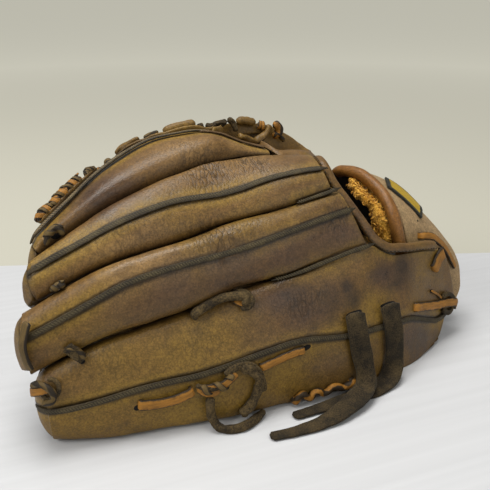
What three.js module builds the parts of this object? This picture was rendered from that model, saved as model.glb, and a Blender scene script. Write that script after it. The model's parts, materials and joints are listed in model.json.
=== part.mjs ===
import * as THREE from 'three';
import { mergeVertices } from 'three/addons/utils/BufferGeometryUtils.js';

// Infield glove for the left hand, lying palm down and closed like a tent over its pocket.
// Millimetres. X runs from the fingertips to the wrist, Y from the little finger to the thumb.

const LEATHER = 2.4; // wall of a shell
const GAP = 0.35; // free play between two pieces that touch
const FOLD = { stall: 6, hand: 1.5 }; // how deep two finger backs dive into the crease between them
const ROUNDNESS = { stall: 2.5, hand: 1.7, tip: 2.2 }; // superellipse exponents of the sections
const TIP_LENGTH = 9; // rounded end of a stall
const GLOVE_CENTRE = { x: 4.8, y: 62.6, z: 0.2 }; // middle of the glove's foot in the tables' frame

// Free play along each seam line, wider where the two leathers turn away from it.
const PARTING = {
  floor: 2.5, ringPinky: 1.6, middleRing: 1.8, indexMiddle: 1.8, indexEdge: 1.4, thumbTop: 1, thumbFloor: 1.9,
};

// Lean of each crease from the vertical, in degrees, towards the little finger.
const LEAN = {
  floor: 88, ringPinky: 73, middleRing: 55, indexMiddle: 20, indexEdge: -15, thumbFloor: -92,
};

// Creases between the stalls, [y, z] at each station x. The floor seam lies on the table.
// Past the hand opening the upper creases only bound the hand's room.
const CREASES = [
  { x: -155, floor: [22, 3], ringPinky: [11, 38], middleRing: [22, 70],
    indexMiddle: [29, 87], indexEdge: [50, 82] },
  { x: -115, floor: [8, 0], ringPinky: [8, 56], middleRing: [22, 90],
    indexMiddle: [41, 109], indexEdge: [80, 104] },
  { x: -85, floor: [3, 0], ringPinky: [8, 62], middleRing: [24, 98],
    indexMiddle: [48, 123], indexEdge: [96, 120] },
  { x: -55, floor: [0, 0], ringPinky: [9, 67], middleRing: [26, 102],
    indexMiddle: [53, 132], indexEdge: [104, 131] },
  { x: -25, floor: [-2, 0], ringPinky: [11, 74], middleRing: [28, 109],
    indexMiddle: [58, 139], indexEdge: [106, 134] },
  { x: 5, floor: [-3, 0], ringPinky: [12, 77], middleRing: [31, 111],
    indexMiddle: [65, 136], indexEdge: [96, 135] },
  { x: 35, floor: [-2, 0], ringPinky: [15, 82], middleRing: [35, 115],
    indexMiddle: [67, 132], indexEdge: [70, 134] },
  { x: 65, floor: [1, 0], ringPinky: [18, 86], middleRing: [39, 119],
    indexMiddle: [67, 128], indexEdge: [70, 130] },
  { x: 78, floor: [4, 0], ringPinky: [19, 77], middleRing: [40, 116],
    indexMiddle: [67, 125], indexEdge: [78, 126] },
  { x: 95, floor: [8, 0], ringPinky: [22, 74], middleRing: [42, 110],
    indexMiddle: [67, 120], indexEdge: [90, 120] },
  { x: 112, floor: [16, 1], ringPinky: [28, 71], middleRing: [45, 100],
    indexMiddle: [67, 110], indexEdge: [90, 110] },
  { x: 130, floor: [26, 3], ringPinky: [35, 66], middleRing: [48, 90],
    indexMiddle: [67, 100], indexEdge: [90, 100] },
  { x: 150, floor: [35, 5], ringPinky: [42, 57], middleRing: [50, 82],
    indexMiddle: [67, 92], indexEdge: [90, 92] },
];

// Ridges of the stalls, where the welts run, [y, z] at each station x.
const RIDGES = [
  { x: -155, pinky: [3, 20], ring: [9, 60], middle: [19, 82], index: [36, 93] },
  { x: -115, pinky: [-5, 28], ring: [6, 79], middle: [25, 105], index: [60, 119] },
  { x: -85, pinky: [-6, 33], ring: [7, 90], middle: [30, 115], index: [73, 137] },
  { x: -55, pinky: [-7, 35], ring: [8, 95], middle: [33, 121], index: [80, 148] },
  { x: -25, pinky: [-7, 40], ring: [11, 98], middle: [36, 123], index: [81, 151] },
  { x: 5, pinky: [-6, 43], ring: [15, 103], middle: [40, 129], index: [75, 141] },
  { x: 35, pinky: [-4, 39], ring: [21, 107], middle: [42, 133], index: [68, 134] },
  { x: 65, pinky: [2, 36], ring: [27, 109], middle: [44, 134], index: [68, 130] },
  { x: 95, pinky: [11, 32], ring: [30, 109], middle: [46, 134], index: [68, 130] },
  { x: 130, pinky: [26, 18], ring: [34, 109], middle: [50, 134], index: [68, 130] },
  { x: 150, pinky: [36.5, 22], ring: [40, 104], middle: [52, 130], index: [68, 126] },
];

// Pocket side of the palm below each crease, [y, z] at each station x.
const PALM = [
  { x: -155, floor: [27, 4], ringPinky: [32, 34], middleRing: [40, 56], indexMiddle: [45, 66],
    indexEdge: [52, 64], thumbTop: [128, 50], thumbFloor: [122, 2] },
  { x: -115, floor: [22, 2], ringPinky: [30, 50], middleRing: [42, 74], indexMiddle: [51, 86],
    indexEdge: [74, 82], thumbTop: [128, 50], thumbFloor: [122, 2] },
  { x: -85, floor: [20, 2], ringPinky: [30, 56], middleRing: [44, 82], indexMiddle: [57, 100],
    indexEdge: [88, 97], thumbTop: [128, 54], thumbFloor: [122, 2] },
  { x: -55, floor: [18, 2], ringPinky: [31, 60], middleRing: [45, 86], indexMiddle: [61, 108],
    indexEdge: [96, 106], thumbTop: [127, 64], thumbFloor: [121, 2] },
  { x: -25, floor: [17, 2], ringPinky: [33, 64], middleRing: [47, 91], indexMiddle: [66, 112],
    indexEdge: [98, 109], thumbTop: [126, 76], thumbFloor: [120, 2] },
  { x: 5, floor: [17, 2], ringPinky: [35, 66], middleRing: [49, 92], indexMiddle: [68, 108],
    indexEdge: [99, 105], thumbTop: [122, 84], thumbFloor: [119, 2] },
  { x: 35, floor: [18, 2], ringPinky: [37, 64], middleRing: [50, 86], indexMiddle: [67, 98],
    indexEdge: [98, 95], thumbTop: [119, 80], thumbFloor: [118, 2] },
  { x: 65, floor: [20, 2], ringPinky: [38, 56], middleRing: [51, 74], indexMiddle: [67, 83],
    indexEdge: [96, 80], thumbTop: [116, 70], thumbFloor: [116, 2] },
  { x: 95, floor: [24, 2], ringPinky: [40, 46], middleRing: [53, 58], indexMiddle: [68, 64],
    indexEdge: [94, 62], thumbTop: [112, 54], thumbFloor: [112, 2] },
  { x: 130, floor: [36, 5], ringPinky: [46, 30], middleRing: [56, 40], indexMiddle: [70, 45],
    indexEdge: [92, 44], thumbTop: [108, 36], thumbFloor: [108, 2] },
];

// Thumb and thumb side, [y, z] at each station x. The top seam leaves the thumb at its crotch
// and climbs over the hand to the opening; lean turns with it, and bulge is the outer swell.
const THUMB = [
  { x: -115, top: [142, 48], floor: [140, 0], lean: -80, bulge: 18 },
  { x: -75, top: [142, 59], floor: [140, 0], lean: -80, bulge: 19 },
  { x: -45, top: [142, 70], floor: [140, 0], lean: -80, bulge: 20 },
  { x: -8, top: [141, 86], floor: [138, 0], lean: -75, bulge: 21 },
  { x: 2, top: [128, 112], floor: [137, 0], lean: -60, bulge: 24 },
  { x: 10, top: [108, 130], floor: [136, 0], lean: -40, bulge: 28 },
  { x: 16, top: [88, 137], floor: [136, 0], lean: -30, bulge: 32 },
  { x: 24, top: [68, 133], floor: [135, 0], lean: -30, bulge: 34 },
  { x: 45, top: [68, 130], floor: [134, 0], lean: -30, bulge: 33 },
  { x: 60, top: [86, 123], floor: [134, 0], lean: -35, bulge: 28 },
  { x: 80, top: [106, 110], floor: [133, 0], lean: -45, bulge: 22 },
  { x: 100, top: [118, 92], floor: [132, 0], lean: -55, bulge: 18 },
  { x: 130, top: [122, 60], floor: [126, 0], lean: -70, bulge: 16 },
];

// Stalls: the creases that bound each one, the x of its tip, and the angle round the tip where
// the leather of the palm ends and that of the back begins (90 is the top of the back).
const STALLS = {
  pinky: { low: 'floor', high: 'ringPinky', tip: -144, capSeam: -16 },
  ring: { low: 'ringPinky', high: 'middleRing', tip: -151, capSeam: 50 },
  middle: { low: 'middleRing', high: 'indexMiddle', tip: -143, capSeam: 50 },
  index: { low: 'indexMiddle', high: 'indexEdge', tip: -138, capSeam: 50 },
  thumb: { low: 'thumbTop', high: 'thumbFloor', tip: -94, capSeam: 40 },
};
const CAP_PLAY = 3; // angle between the two leathers at a cap seam
const CROTCH = { fingers: -28, thumb: -12, thumbSeam: -8 };

const rad = THREE.MathUtils.degToRad;
const { lerp, clamp, smoothstep } = THREE.MathUtils;

// Even steps from one value to another, both included.
function steps(from, to, count) {
  return Array.from({ length: count + 1 }, (_, i) => lerp(from, to, i / count));
}

// One column of a table of stations, read at x on a smooth curve that doesn't overshoot its rows.
function column(rows, name, x) {
  const last = rows.length - 2;
  const found = rows.findIndex((row, k) => k > 0 && x <= row.x) - 1;
  const i = found >= 0 ? found : last;
  const at = (k) => [rows[k][name]].flat();
  const step = (k, c) => (at(k + 1)[c] - at(k)[c]) / (rows[k + 1].x - rows[k].x);
  const slope = (k, c) => {
    if (k === 0) return step(0, c);
    if (k > last) return step(last, c);
    const before = step(k - 1, c);
    const after = step(k, c);
    return before * after <= 0 ? 0 : (2 * before * after) / (before + after);
  };
  const span = rows[i + 1].x - rows[i].x;
  const t = clamp((x - rows[i].x) / span, 0, 1);
  const beyond = x - rows[i].x - t * span;
  const values = at(i).map((from, c) => {
    const ease = t * t * (3 - 2 * t);
    const bend = slope(i, c) * t * (1 - t) ** 2 - slope(i + 1, c) * t * t * (1 - t);
    return lerp(from, at(i + 1)[c], ease) + bend * span + beyond * step(i, c);
  });
  return values.length === 1 ? values[0] : new THREE.Vector2(...values);
}

// Unit vector in the section plane that leans by an angle towards the little finger.
function leaning(degrees) {
  return new THREE.Vector2(-Math.sin(rad(degrees)), Math.cos(rad(degrees)));
}

// Signed power for superellipse arcs.
function power(value, exponent) {
  return Math.sign(value) * Math.abs(value) ** (2 / exponent);
}

// Superellipse arc over a stall: theta in degrees from its low seam to its high one.
function arc(theta, exponent) {
  return {
    across: power(-Math.cos(rad(theta)), exponent),
    rise: power(Math.sin(rad(theta)), exponent),
  };
}

// Roundness of a back's section: full over the stalls, flatter over the hand.
function roundness(x) {
  return lerp(ROUNDNESS.stall, ROUNDNESS.hand, smoothstep(x, -45, 25));
}

// Line along which the shells of two neighbouring stalls meet, at the bottom of their crease.
function seam(name, x) {
  const point = column(CREASES, name, x);
  if (name === 'floor') return point;
  const depth = lerp(FOLD.stall, FOLD.hand, smoothstep(x, -40, 10));
  return point.addScaledVector(leaning(LEAN[name]), -depth);
}

// Section of one finger stall at station x: its seams, their directions and its ridge.
function fingerFrame(name, x) {
  const { low, high } = STALLS[name];
  const from = seam(low, x);
  const to = seam(high, x);
  const ridge = column(RIDGES, name, x);
  const along = to.clone().sub(from);
  const length = along.length();
  along.normalize();
  const skew = (2 * ridge.clone().sub(from).dot(along)) / length - 1;
  const foot = from.clone().lerp(to, (skew + 1) / 2);
  const height = ridge.sub(foot).dot(new THREE.Vector2(-along.y, along.x));
  const parting = [PARTING[low], PARTING[high]];
  return { from, to, length, skew, height, lean: [LEAN[low], LEAN[high]], parting };
}

// Section of the thumb side at station x.
function thumbFrame(x) {
  const from = column(THUMB, 'top', x);
  const to = column(THUMB, 'floor', x);
  const height = column(THUMB, 'bulge', x);
  const lean = [column(THUMB, 'lean', x), LEAN.thumbFloor];
  const parting = [PARTING.thumbTop, PARTING.thumbFloor];
  return { from, to, length: from.distanceTo(to), skew: 0, height, lean, parting };
}

// The same for the inside of the thumb, whose top seam stays at the height of the crotch.
function thumbInsideFrame(x) {
  const frame = thumbFrame(x);
  frame.from = column(THUMB, 'top', Math.min(x, CROTCH.thumbSeam));
  frame.length = frame.from.distanceTo(frame.to);
  return frame;
}

// Point on the outside of a stall: across runs from -1 to 1 between its seams.
function outside(frame, x, across, rise) {
  const reach = 1 - (2 * GAP) / frame.length;
  const t = ((across + frame.skew * (1 - across * across)) * reach + 1) / 2;
  const foot = frame.from.clone().lerp(frame.to, t);
  const out = leaning(lerp(frame.lean[0], frame.lean[1], t));
  const play = lerp(frame.parting[0], frame.parting[1], t) * (1 - Math.abs(rise));
  foot.addScaledVector(out, play + rise * frame.height);
  return new THREE.Vector3(x, foot.x, foot.y);
}

// Station x of a point on the rounded tip of a stall, phi degrees round the tip.
function tipStation(tip, theta, phi) {
  return tip + TIP_LENGTH * (1 - Math.cos(rad(phi)) * power(Math.sin(rad(theta)), ROUNDNESS.tip));
}

// Angles of a back's rows round the tip, from its cap seam to the top.
function tipAngles(stall) {
  return steps(stall.capSeam + CAP_PLAY, 90, stall.capSeam < 0 ? 5 : 2);
}

// Outside of a back as rows of points: its part of the rounded tip, then one row a station.
function backRows(frameAt, stall, stations, thetas, endAt = () => Infinity) {
  const start = stall.tip + TIP_LENGTH;
  const rows = tipAngles(stall).slice(0, -1).map((phi) => thetas.map((theta) => {
    const { across, rise } = arc(theta, ROUNDNESS.stall);
    const x = tipStation(stall.tip, theta, phi);
    const frame = { ...frameAt(x), height: frameAt(start).height };
    return outside(frame, x, across, rise * Math.sin(rad(phi)));
  }));
  for (const station of [start, ...stations]) {
    rows.push(thetas.map((theta) => {
      const x = Math.min(station, endAt(theta / 180));
      const { across, rise } = arc(theta, roundness(x));
      return outside(frameAt(x), x, across, rise);
    }));
  }
  return rows;
}

// Triangles of a grid, with points that fall together counted as one.
function gridFaces(rows, keep) {
  const columns = rows[0].length;
  const first = new Map();
  const index = rows.flat().map((p, i) => {
    const key = p.toArray().map((v) => Math.round(v * 1000)).join(' ');
    if (!first.has(key)) first.set(key, i);
    return first.get(key);
  });
  const faces = [];
  for (let r = 0; r + 1 < rows.length; r += 1) {
    for (let c = 0; c + 1 < columns; c += 1) {
      if (!keep(r, c)) continue;
      const [a, b] = [index[r * columns + c], index[r * columns + c + 1]];
      const [e, d] = [index[(r + 1) * columns + c], index[(r + 1) * columns + c + 1]];
      faces.push(...[[a, b, d], [a, d, e]].filter((face) => new Set(face).size === 3));
    }
  }
  return faces;
}

// Unit normals of points, from the faces between them.
function normalsOf(points, faces) {
  const normals = points.map(() => new THREE.Vector3());
  for (const [a, b, c] of faces) {
    const side = points[b].clone().sub(points[a]);
    const normal = side.cross(points[c].clone().sub(points[a]));
    [a, b, c].forEach((i) => normals[i].add(normal));
  }
  return normals.map((normal) => normal.normalize());
}

// Closed wall behind a grid of points, or in front of it if the thickness is negative. The
// thickness is one value or a function of the point. Cells where keep is false stay open.
function wall(rows, thickness, keep = () => true) {
  const depth = typeof thickness === 'function' ? thickness : () => thickness;
  const points = rows.flat();
  const faces = gridFaces(rows, keep);
  const normals = normalsOf(points, faces);
  const back = points.map((p, i) => p.clone().addScaledVector(normals[i], -depth(p)));
  const edges = new Map();
  const triangles = [];
  for (const [a, b, c] of faces) {
    const [d, e, f] = [a, b, c].map((i) => i + points.length);
    triangles.push(a, b, c, d, f, e);
    [[a, b], [b, c], [c, a]].forEach((edge) => edges.set(edge.join(' '), edge));
  }
  for (const [from, to] of edges.values()) {
    if (edges.has(`${to} ${from}`)) continue;
    const [fromBack, toBack] = [from + points.length, to + points.length];
    triangles.push(from, fromBack, toBack, from, toBack, to);
  }
  return solid([...points, ...back], triangles);
}

// The same grid moved along its normals, towards its front if the distance is positive.
function shifted(rows, distance) {
  const normals = normalsOf(rows.flat(), gridFaces(rows, () => true));
  const columns = rows[0].length;
  return rows.map((row, r) => row.map((p, c) => (
    p.clone().addScaledVector(normals[r * columns + c], distance)
  )));
}

// Closed geometry with shared vertices and its faces pointing out.
function solid(points, triangles) {
  let volume = 0;
  for (let t = 0; t < triangles.length; t += 3) {
    const [a, b, c] = triangles.slice(t, t + 3).map((i) => points[i]);
    volume += a.dot(b.clone().cross(c));
  }
  if (volume < 0) triangles.reverse();
  const geometry = new THREE.BufferGeometry().setFromPoints(points);
  geometry.setIndex(triangles);
  return mergeVertices(geometry, 1e-3);
}

// Bar of a convex profile, pairs of [sideways, outward], along a smooth line through points.
// ups holds the outward direction at each point, or one for all, and taper scales the profile.
function sweep(points, ups, profile, count, taper = () => 1) {
  const curve = new THREE.CatmullRomCurve3(points.map((p) => new THREE.Vector3(...p)), false, 'centripetal');
  const upAt = (i) => new THREE.Vector3(...ups[Math.min(i, ups.length - 1)]);
  const rings = steps(0, 1, count).flatMap((t) => {
    const i = Math.min(Math.floor(t * (points.length - 1)), points.length - 2);
    const tangent = curve.getTangent(t);
    const side = tangent.clone().cross(upAt(i).lerp(upAt(i + 1), t * (points.length - 1) - i)).normalize();
    const out = side.clone().cross(tangent);
    const size = taper(t);
    return profile.map(([a, b]) => (
      curve.getPoint(t).addScaledVector(side, a * size).addScaledVector(out, b * size)
    ));
  });
  const n = profile.length;
  const triangles = [];
  for (let r = 0; r < count; r += 1) {
    for (let c = 0; c < n; c += 1) {
      const [a, b] = [r * n + c, r * n + ((c + 1) % n)];
      triangles.push(a, b, b + n, a, b + n, a + n);
    }
  }
  for (let c = 1; c + 1 < n; c += 1) {
    triangles.push(0, c + 1, c, count * n, count * n + c, count * n + c + 1);
  }
  return solid(rings, triangles);
}

// Profiles of bars.
function round(radius, sides = 6) {
  return steps(0, 2 * Math.PI, sides).slice(1)
    .map((angle) => [radius * Math.cos(angle), radius * Math.sin(angle)]);
}
function flat(width, from, to) {
  return [[-width / 2, from], [width / 2, from], [width / 2, to], [-width / 2, to]];
}

const glove = new THREE.Group();

const FINISH = {
  leather: { color: 0x6b4f32, roughness: 0.62 },
  palm: { color: 0x7a6234, roughness: 0.7 },
  welt: { color: 0x37362f, roughness: 0.85 },
  lace: { color: 0xa8662c, roughness: 0.8 },
  darkLace: { color: 0x40372a, roughness: 0.85 },
  suede: { color: 0x2f2720, roughness: 0.95 },
  fleece: { color: 0xc9973f, roughness: 1 },
  patch: { color: 0xd9b52a, roughness: 0.8 },
};

function add(name, geometry, finish) {
  const material = new THREE.MeshStandardMaterial({ ...FINISH[finish], metalness: 0 });
  const mesh = new THREE.Mesh(geometry, material);
  mesh.name = name;
  glove.add(mesh);
}

// Finger backs. Where a back meets the hand opening, its end follows the opening's edge.
const ACROSS = steps(0, 180, 8);
const HAND_STATIONS = [-110, -92, -74, -56, -42, -28, -14, 0, 12, 24, 36, 48, 64];
const INDEX_STATIONS = [-110, -92, -74, -56, -42, -28, -14, 0, 9, 16];
const PINKY_STATIONS = [...HAND_STATIONS, 78, 95, 112, 125, 138, 148];
const THUMB_STATIONS = [-72, -58, -44, -30, -18, -8, -2, 4, 10, 16, 24, 34, 45, 60, 80, 100, 115, 130];
const BACKS = {
  ring: { stations: HAND_STATIONS, endAt: (t) => 62 - 24 * t + 8 * t * t },
  middle: { stations: HAND_STATIONS, endAt: (t) => 46 - 26 * t + 24 * t * t },
  index: { stations: INDEX_STATIONS },
};
for (const [name, { stations, endAt }] of Object.entries(BACKS)) {
  const rows = backRows((x) => fingerFrame(name, x), STALLS[name], stations, ACROSS, endAt);
  add(`${name}_back`, wall(rows, -LEATHER), 'leather');
}

// The little finger's back runs on to the heel, and a second leather wraps its outer side.
const PINKY_SEAM_PLAY = 0.6; // angle on each side of the welt's seam
const pinkyFrame = (x) => fingerFrame('pinky', x);
const HEEL_END = { back: 148, rounding: 72, floor: 121, side: 137 }; // x where the leathers end
const backEnd = (t) => HEEL_END.back - HEEL_END.rounding * (t - 0.5) ** 2;
const sideEnd = (t) => lerp(HEEL_END.floor, HEEL_END.side, 2 * t);
const pinkyRows = (from, to, endAt) => (
  backRows(pinkyFrame, STALLS.pinky, PINKY_STATIONS, steps(from, to, 5), endAt)
);
add('pinky_back', wall(pinkyRows(90 + PINKY_SEAM_PLAY, 180, backEnd), -LEATHER), 'leather');
add('pinky_side', wall(pinkyRows(0, 90 - PINKY_SEAM_PLAY, sideEnd), -LEATHER), 'palm');

const thumbRows = backRows(thumbFrame, STALLS.thumb, THUMB_STATIONS, steps(0, 180, 9));
add('thumb_back', wall(thumbRows, -LEATHER), 'leather');

// Palm: one leather that forms the front of every stall, the pocket and the heel.
const TIP_ROWS = 5;
const PALM_STATIONS = [-110, -92, -74, -56, -42, -28, -12, 4, 20, 36, 52, 70, 90, 110, 130];
const POCKET_CELLS = 3; // cells between the index finger and the thumb
const PALM_STALLS = [
  { frameAt: pinkyFrame, ...STALLS.pinky, cells: 6, delay: 0 },
  { frameAt: (x) => fingerFrame('ring', x), ...STALLS.ring, cells: 4, delay: 0 },
  { frameAt: (x) => fingerFrame('middle', x), ...STALLS.middle, cells: 4, delay: 0 },
  { frameAt: (x) => fingerFrame('index', x), ...STALLS.index, cells: 4, delay: 0 },
  { frameAt: thumbInsideFrame, ...STALLS.thumb, cells: 6, delay: 2 },
];

// How far the palm has left a seam for its own line over the pocket: not at all in the stalls.
function slack(name, x) {
  if (name === 'floor' || name === 'thumbFloor') return 0;
  const start = ['indexEdge', 'thumbTop'].includes(name) ? CROTCH.thumb - 12 : CROTCH.fingers;
  return smoothstep(x, start, start + 34);
}

// Point of the palm in one stall, phi degrees round the tip; past the tip it lies at station x.
function palmPoint(stall, x, theta, phi) {
  const { across, rise } = arc(theta, ROUNDNESS.stall);
  const station = phi === -90 ? x : tipStation(stall.tip, theta, phi);
  const frame = stall.frameAt(station);
  if (phi > 0) {
    const { height } = stall.frameAt(stall.tip + TIP_LENGTH);
    const inset = { ...frame, height, parting: frame.parting.map((play) => -play) };
    return outside(inset, station, across, rise * Math.sin(rad(phi)));
  }
  const t = (across * (1 - (2 * GAP) / frame.length) + 1) / 2;
  const foot = frame.from.clone().lerp(frame.to, t);
  const way = column(PALM, stall.low, station).lerp(column(PALM, stall.high, station), t).sub(foot);
  const base = lerp(slack(stall.low, station), slack(stall.high, station), t);
  const depth = (base + (1 - base) * rise) * Math.sin(rad(-phi));
  const play = lerp(frame.parting[0], frame.parting[1], t) * (1 - rise);
  foot.addScaledVector(way, depth).addScaledVector(way.normalize(), play);
  return new THREE.Vector3(station, foot.x, foot.y);
}

// Row r of the palm across all stalls, with two more points over the pocket before the thumb.
function palmRow(r) {
  const row = [];
  for (const stall of PALM_STALLS) {
    const start = stall.tip + TIP_LENGTH;
    const x = r > TIP_ROWS ? Math.max(PALM_STATIONS[r - TIP_ROWS - 1], start) : start;
    const phi = lerp(stall.capSeam, -90, clamp((r - stall.delay) / TIP_ROWS, 0, 1));
    const points = steps(0, 180, stall.cells).map((theta) => palmPoint(stall, x, theta, phi));
    if (stall.low === 'thumbTop') {
      const last = row.at(-1);
      row.push(...steps(0, 1, POCKET_CELLS).slice(1, -1).map((t) => last.clone().lerp(points[0], t)));
    }
    row.push(...points);
  }
  return row;
}

// Whether a cell of the palm is leather: slits part the fingers, a notch parts the thumb.
function isLeather(r, c) {
  const x = r > TIP_ROWS ? PALM_STATIONS[r - TIP_ROWS - 1] : -Infinity;
  let next = 0;
  for (const stall of PALM_STALLS) {
    next += stall.cells;
    if (c < next) return r >= stall.delay;
    const beforeThumb = stall.high === 'indexEdge';
    next += beforeThumb ? POCKET_CELLS : 1;
    if (c < next) return x >= (beforeThumb ? CROTCH.thumb : CROTCH.fingers);
  }
  return false;
}
const palmRowCount = TIP_ROWS + PALM_STATIONS.length;
add('palm', wall(steps(0, palmRowCount, palmRowCount).map(palmRow), LEATHER, isLeather), 'palm');

// Web between the index finger and the thumb, from its free edge to a tail at the crotch.
const WEB = { thickness: 3.5, swell: 8, play: 1.7, indexFrom: -108, indexTo: 12, thumbFrom: -82, thumbTo: -13 };
function webPoint(r, t) {
  const x = lerp(lerp(WEB.indexFrom, WEB.indexTo, r), lerp(WEB.thumbFrom, WEB.thumbTo, r), t);
  const from = seam('indexEdge', x);
  const to = column(THUMB, 'top', Math.min(x, CROTCH.thumbSeam));
  const along = to.clone().sub(from).normalize();
  from.addScaledVector(along, WEB.play);
  to.addScaledVector(along, -WEB.play);
  const out = new THREE.Vector2(-along.y, along.x);
  const point = from.lerp(to, t).addScaledVector(out, WEB.swell * Math.sin(Math.PI * t));
  return new THREE.Vector3(x, point.x, point.y);
}
const webRows = steps(0, 1, 8).map((r) => steps(0, 1, 6).map((t) => webPoint(r, t)));
add('web', wall(webRows, -WEB.thickness), 'palm');

// Wrist strap, a dome over the wrist: [x, y, z] of three points across it at each place along it,
// from the heel of the little finger to the heel of the thumb.
const STRAP = [
  { x: 0, opening: [106, 34, 46], crown: [132, 42, 36], wrist: [153, 44, 12] },
  { x: 1, opening: [91, 29, 71], crown: [129, 40, 60], wrist: [160, 45, 28] },
  { x: 2, opening: [87, 34, 94], crown: [127, 46, 78], wrist: [160, 50, 45] },
  { x: 3, opening: [87, 44, 105], crown: [124, 57, 89], wrist: [157, 58, 57] },
  { x: 4, opening: [86, 60, 112], crown: [121, 70, 96], wrist: [152, 70, 66] },
  { x: 5, opening: [81, 79, 116], crown: [119, 85, 101], wrist: [151, 86, 71] },
  { x: 6, opening: [76, 94, 114], crown: [116, 100, 97], wrist: [148, 100, 68] },
  { x: 7, opening: [78, 106, 104], crown: [117, 112, 86], wrist: [147, 112, 59] },
  { x: 8, opening: [87, 114, 86], crown: [119, 119, 68], wrist: [146, 119, 44] },
];
const STRAP_LEATHER = 3;
const STRAP_ROLL = { radius: 4.2, width: 0.16 }; // rolled edge, and its share of the strap's width
// The pile is thick at the opening's low end and thins as it rises and towards the wrist.
const FLEECE = {
  thick: 16, thin: 5, from: 1.3, to: 4.9, width: [0.02, 0.85], rise: [80, 106], inward: [98, 122],
};
const PATCH = { leather: 1.6, corners: [[3.75, 0.2], [2.3, 0.42], [4.3, 0.8], [5, 0.42]] };

// Point on the outside of the strap, along it from 0 to 8 and across it from 0 to 1.
function strapPoint(along, across) {
  const [a, b, c] = ['opening', 'crown', 'wrist'].map((line) => new THREE.Vector3(
    ...[0, 1, 2].map((axis) => column(STRAP.map((row) => ({ x: row.x, at: row[line][axis] })), 'at', along)),
  ));
  return a.multiplyScalar((1 - across) * (1 - 2 * across))
    .addScaledVector(b, 4 * across * (1 - across))
    .addScaledVector(c, across * (2 * across - 1));
}
const strapGrid = (along, across) => along.map((s) => across.map((t) => strapPoint(s, t)));
add('wrist_strap', wall(strapGrid(steps(0, 8, 16), steps(STRAP_ROLL.width, 1, 5)), STRAP_LEATHER), 'leather');

const rollRows = strapGrid(steps(0.6, 7.8, 14), [0, STRAP_ROLL.width / 2, STRAP_ROLL.width]);
const rollLine = shifted(rollRows, -STRAP_LEATHER / 2).map((row) => row[1].toArray());
add('strap_roll', sweep(rollLine, [[0, 0, 1]], round(STRAP_ROLL.radius, 8), 16), 'leather');

const pileRows = strapGrid(steps(FLEECE.from, FLEECE.to, 12), steps(...FLEECE.width, 4));
const fleeceRows = shifted(pileRows, -STRAP_ROLL.radius - STRAP_LEATHER / 2 - GAP);
const pile = (point) => {
  const thinning = (1 - smoothstep(point.z, ...FLEECE.rise)) * (1 - smoothstep(point.x, ...FLEECE.inward));
  return lerp(FLEECE.thin, FLEECE.thick, thinning);
};
add('strap_fleece', wall(fleeceRows, pile), 'fleece');

const patchRows = steps(0, 1, 4).map((s) => steps(0, 1, 4).map((t) => {
  const [a, b, c, d] = PATCH.corners.map((corner) => new THREE.Vector2(...corner));
  const place = a.lerp(d, s).lerp(b.lerp(c, s), t);
  return strapPoint(place.x, place.y);
}));
add('strap_patch', wall(shifted(patchRows, GAP + PATCH.leather), PATCH.leather), 'patch');

// Welts: piping on the ridges, which follows the stations of the leather below it.
const WELT = { width: 3.4, height: 1.5 };
function ridgeWelt(name, frameAt, stall, stations, finish = 'welt') {
  const start = stall.tip + TIP_LENGTH;
  const line = [];
  const ups = [];
  const place = (x, phi) => {
    const rise = Math.sin(rad(phi));
    const frame = { ...frameAt(x), height: frameAt(Math.max(x, start)).height };
    const [before, after] = [70, 110].map((theta) => {
      const section = arc(theta, roundness(x));
      return outside(frame, x, section.across, section.rise * rise);
    });
    const side = after.sub(before).normalize();
    line.push(outside(frame, x, 0, rise).toArray());
    ups.push([-Math.cos(rad(phi)), -side.z * rise, side.y * rise]);
  };
  tipAngles(stall).filter((phi) => phi > 0).forEach((phi) => place(tipStation(stall.tip, 90, phi), phi));
  stations.forEach((x) => place(x, 90));
  const profile = flat(WELT.width, GAP, GAP + WELT.height);
  add(name, sweep(line, ups, profile, line.length - 1), finish);
}
const upTo = (stations, last) => [...stations.filter((x) => x < last), last];
ridgeWelt('pinky_welt', pinkyFrame, STALLS.pinky, upTo(PINKY_STATIONS, 143));
ridgeWelt('ring_welt', (x) => fingerFrame('ring', x), STALLS.ring, upTo(HAND_STATIONS, 50));
ridgeWelt('middle_welt', (x) => fingerFrame('middle', x), STALLS.middle, upTo(HAND_STATIONS, 37));
ridgeWelt('index_welt', (x) => fingerFrame('index', x), STALLS.index, upTo(INDEX_STATIONS, 14));
ridgeWelt('thumb_welt', thumbFrame, STALLS.thumb, upTo(THUMB_STATIONS, -2));

// Welts in the two creases that run into the hand opening.
const VALLEY_WELT_WIDTH = 2.6;
function valleyWelt(name, crease, rise, stations) {
  const up = leaning(LEAN[crease]);
  const line = stations.map((x) => {
    const point = seam(crease, x).addScaledVector(up, rise);
    return [x, point.x, point.y];
  });
  add(name, sweep(line, [[0, up.x, up.y]], flat(VALLEY_WELT_WIDTH, 0, WELT.height), line.length - 1), 'welt');
}
valleyWelt('middle_ring_welt', 'middleRing', 5.7, [18, 24, 31, 38, 44]);
valleyWelt('ring_pinky_welt', 'ringPinky', 3.9, [-6, 0, 12, 24, 36, 48, 60]);

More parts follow.
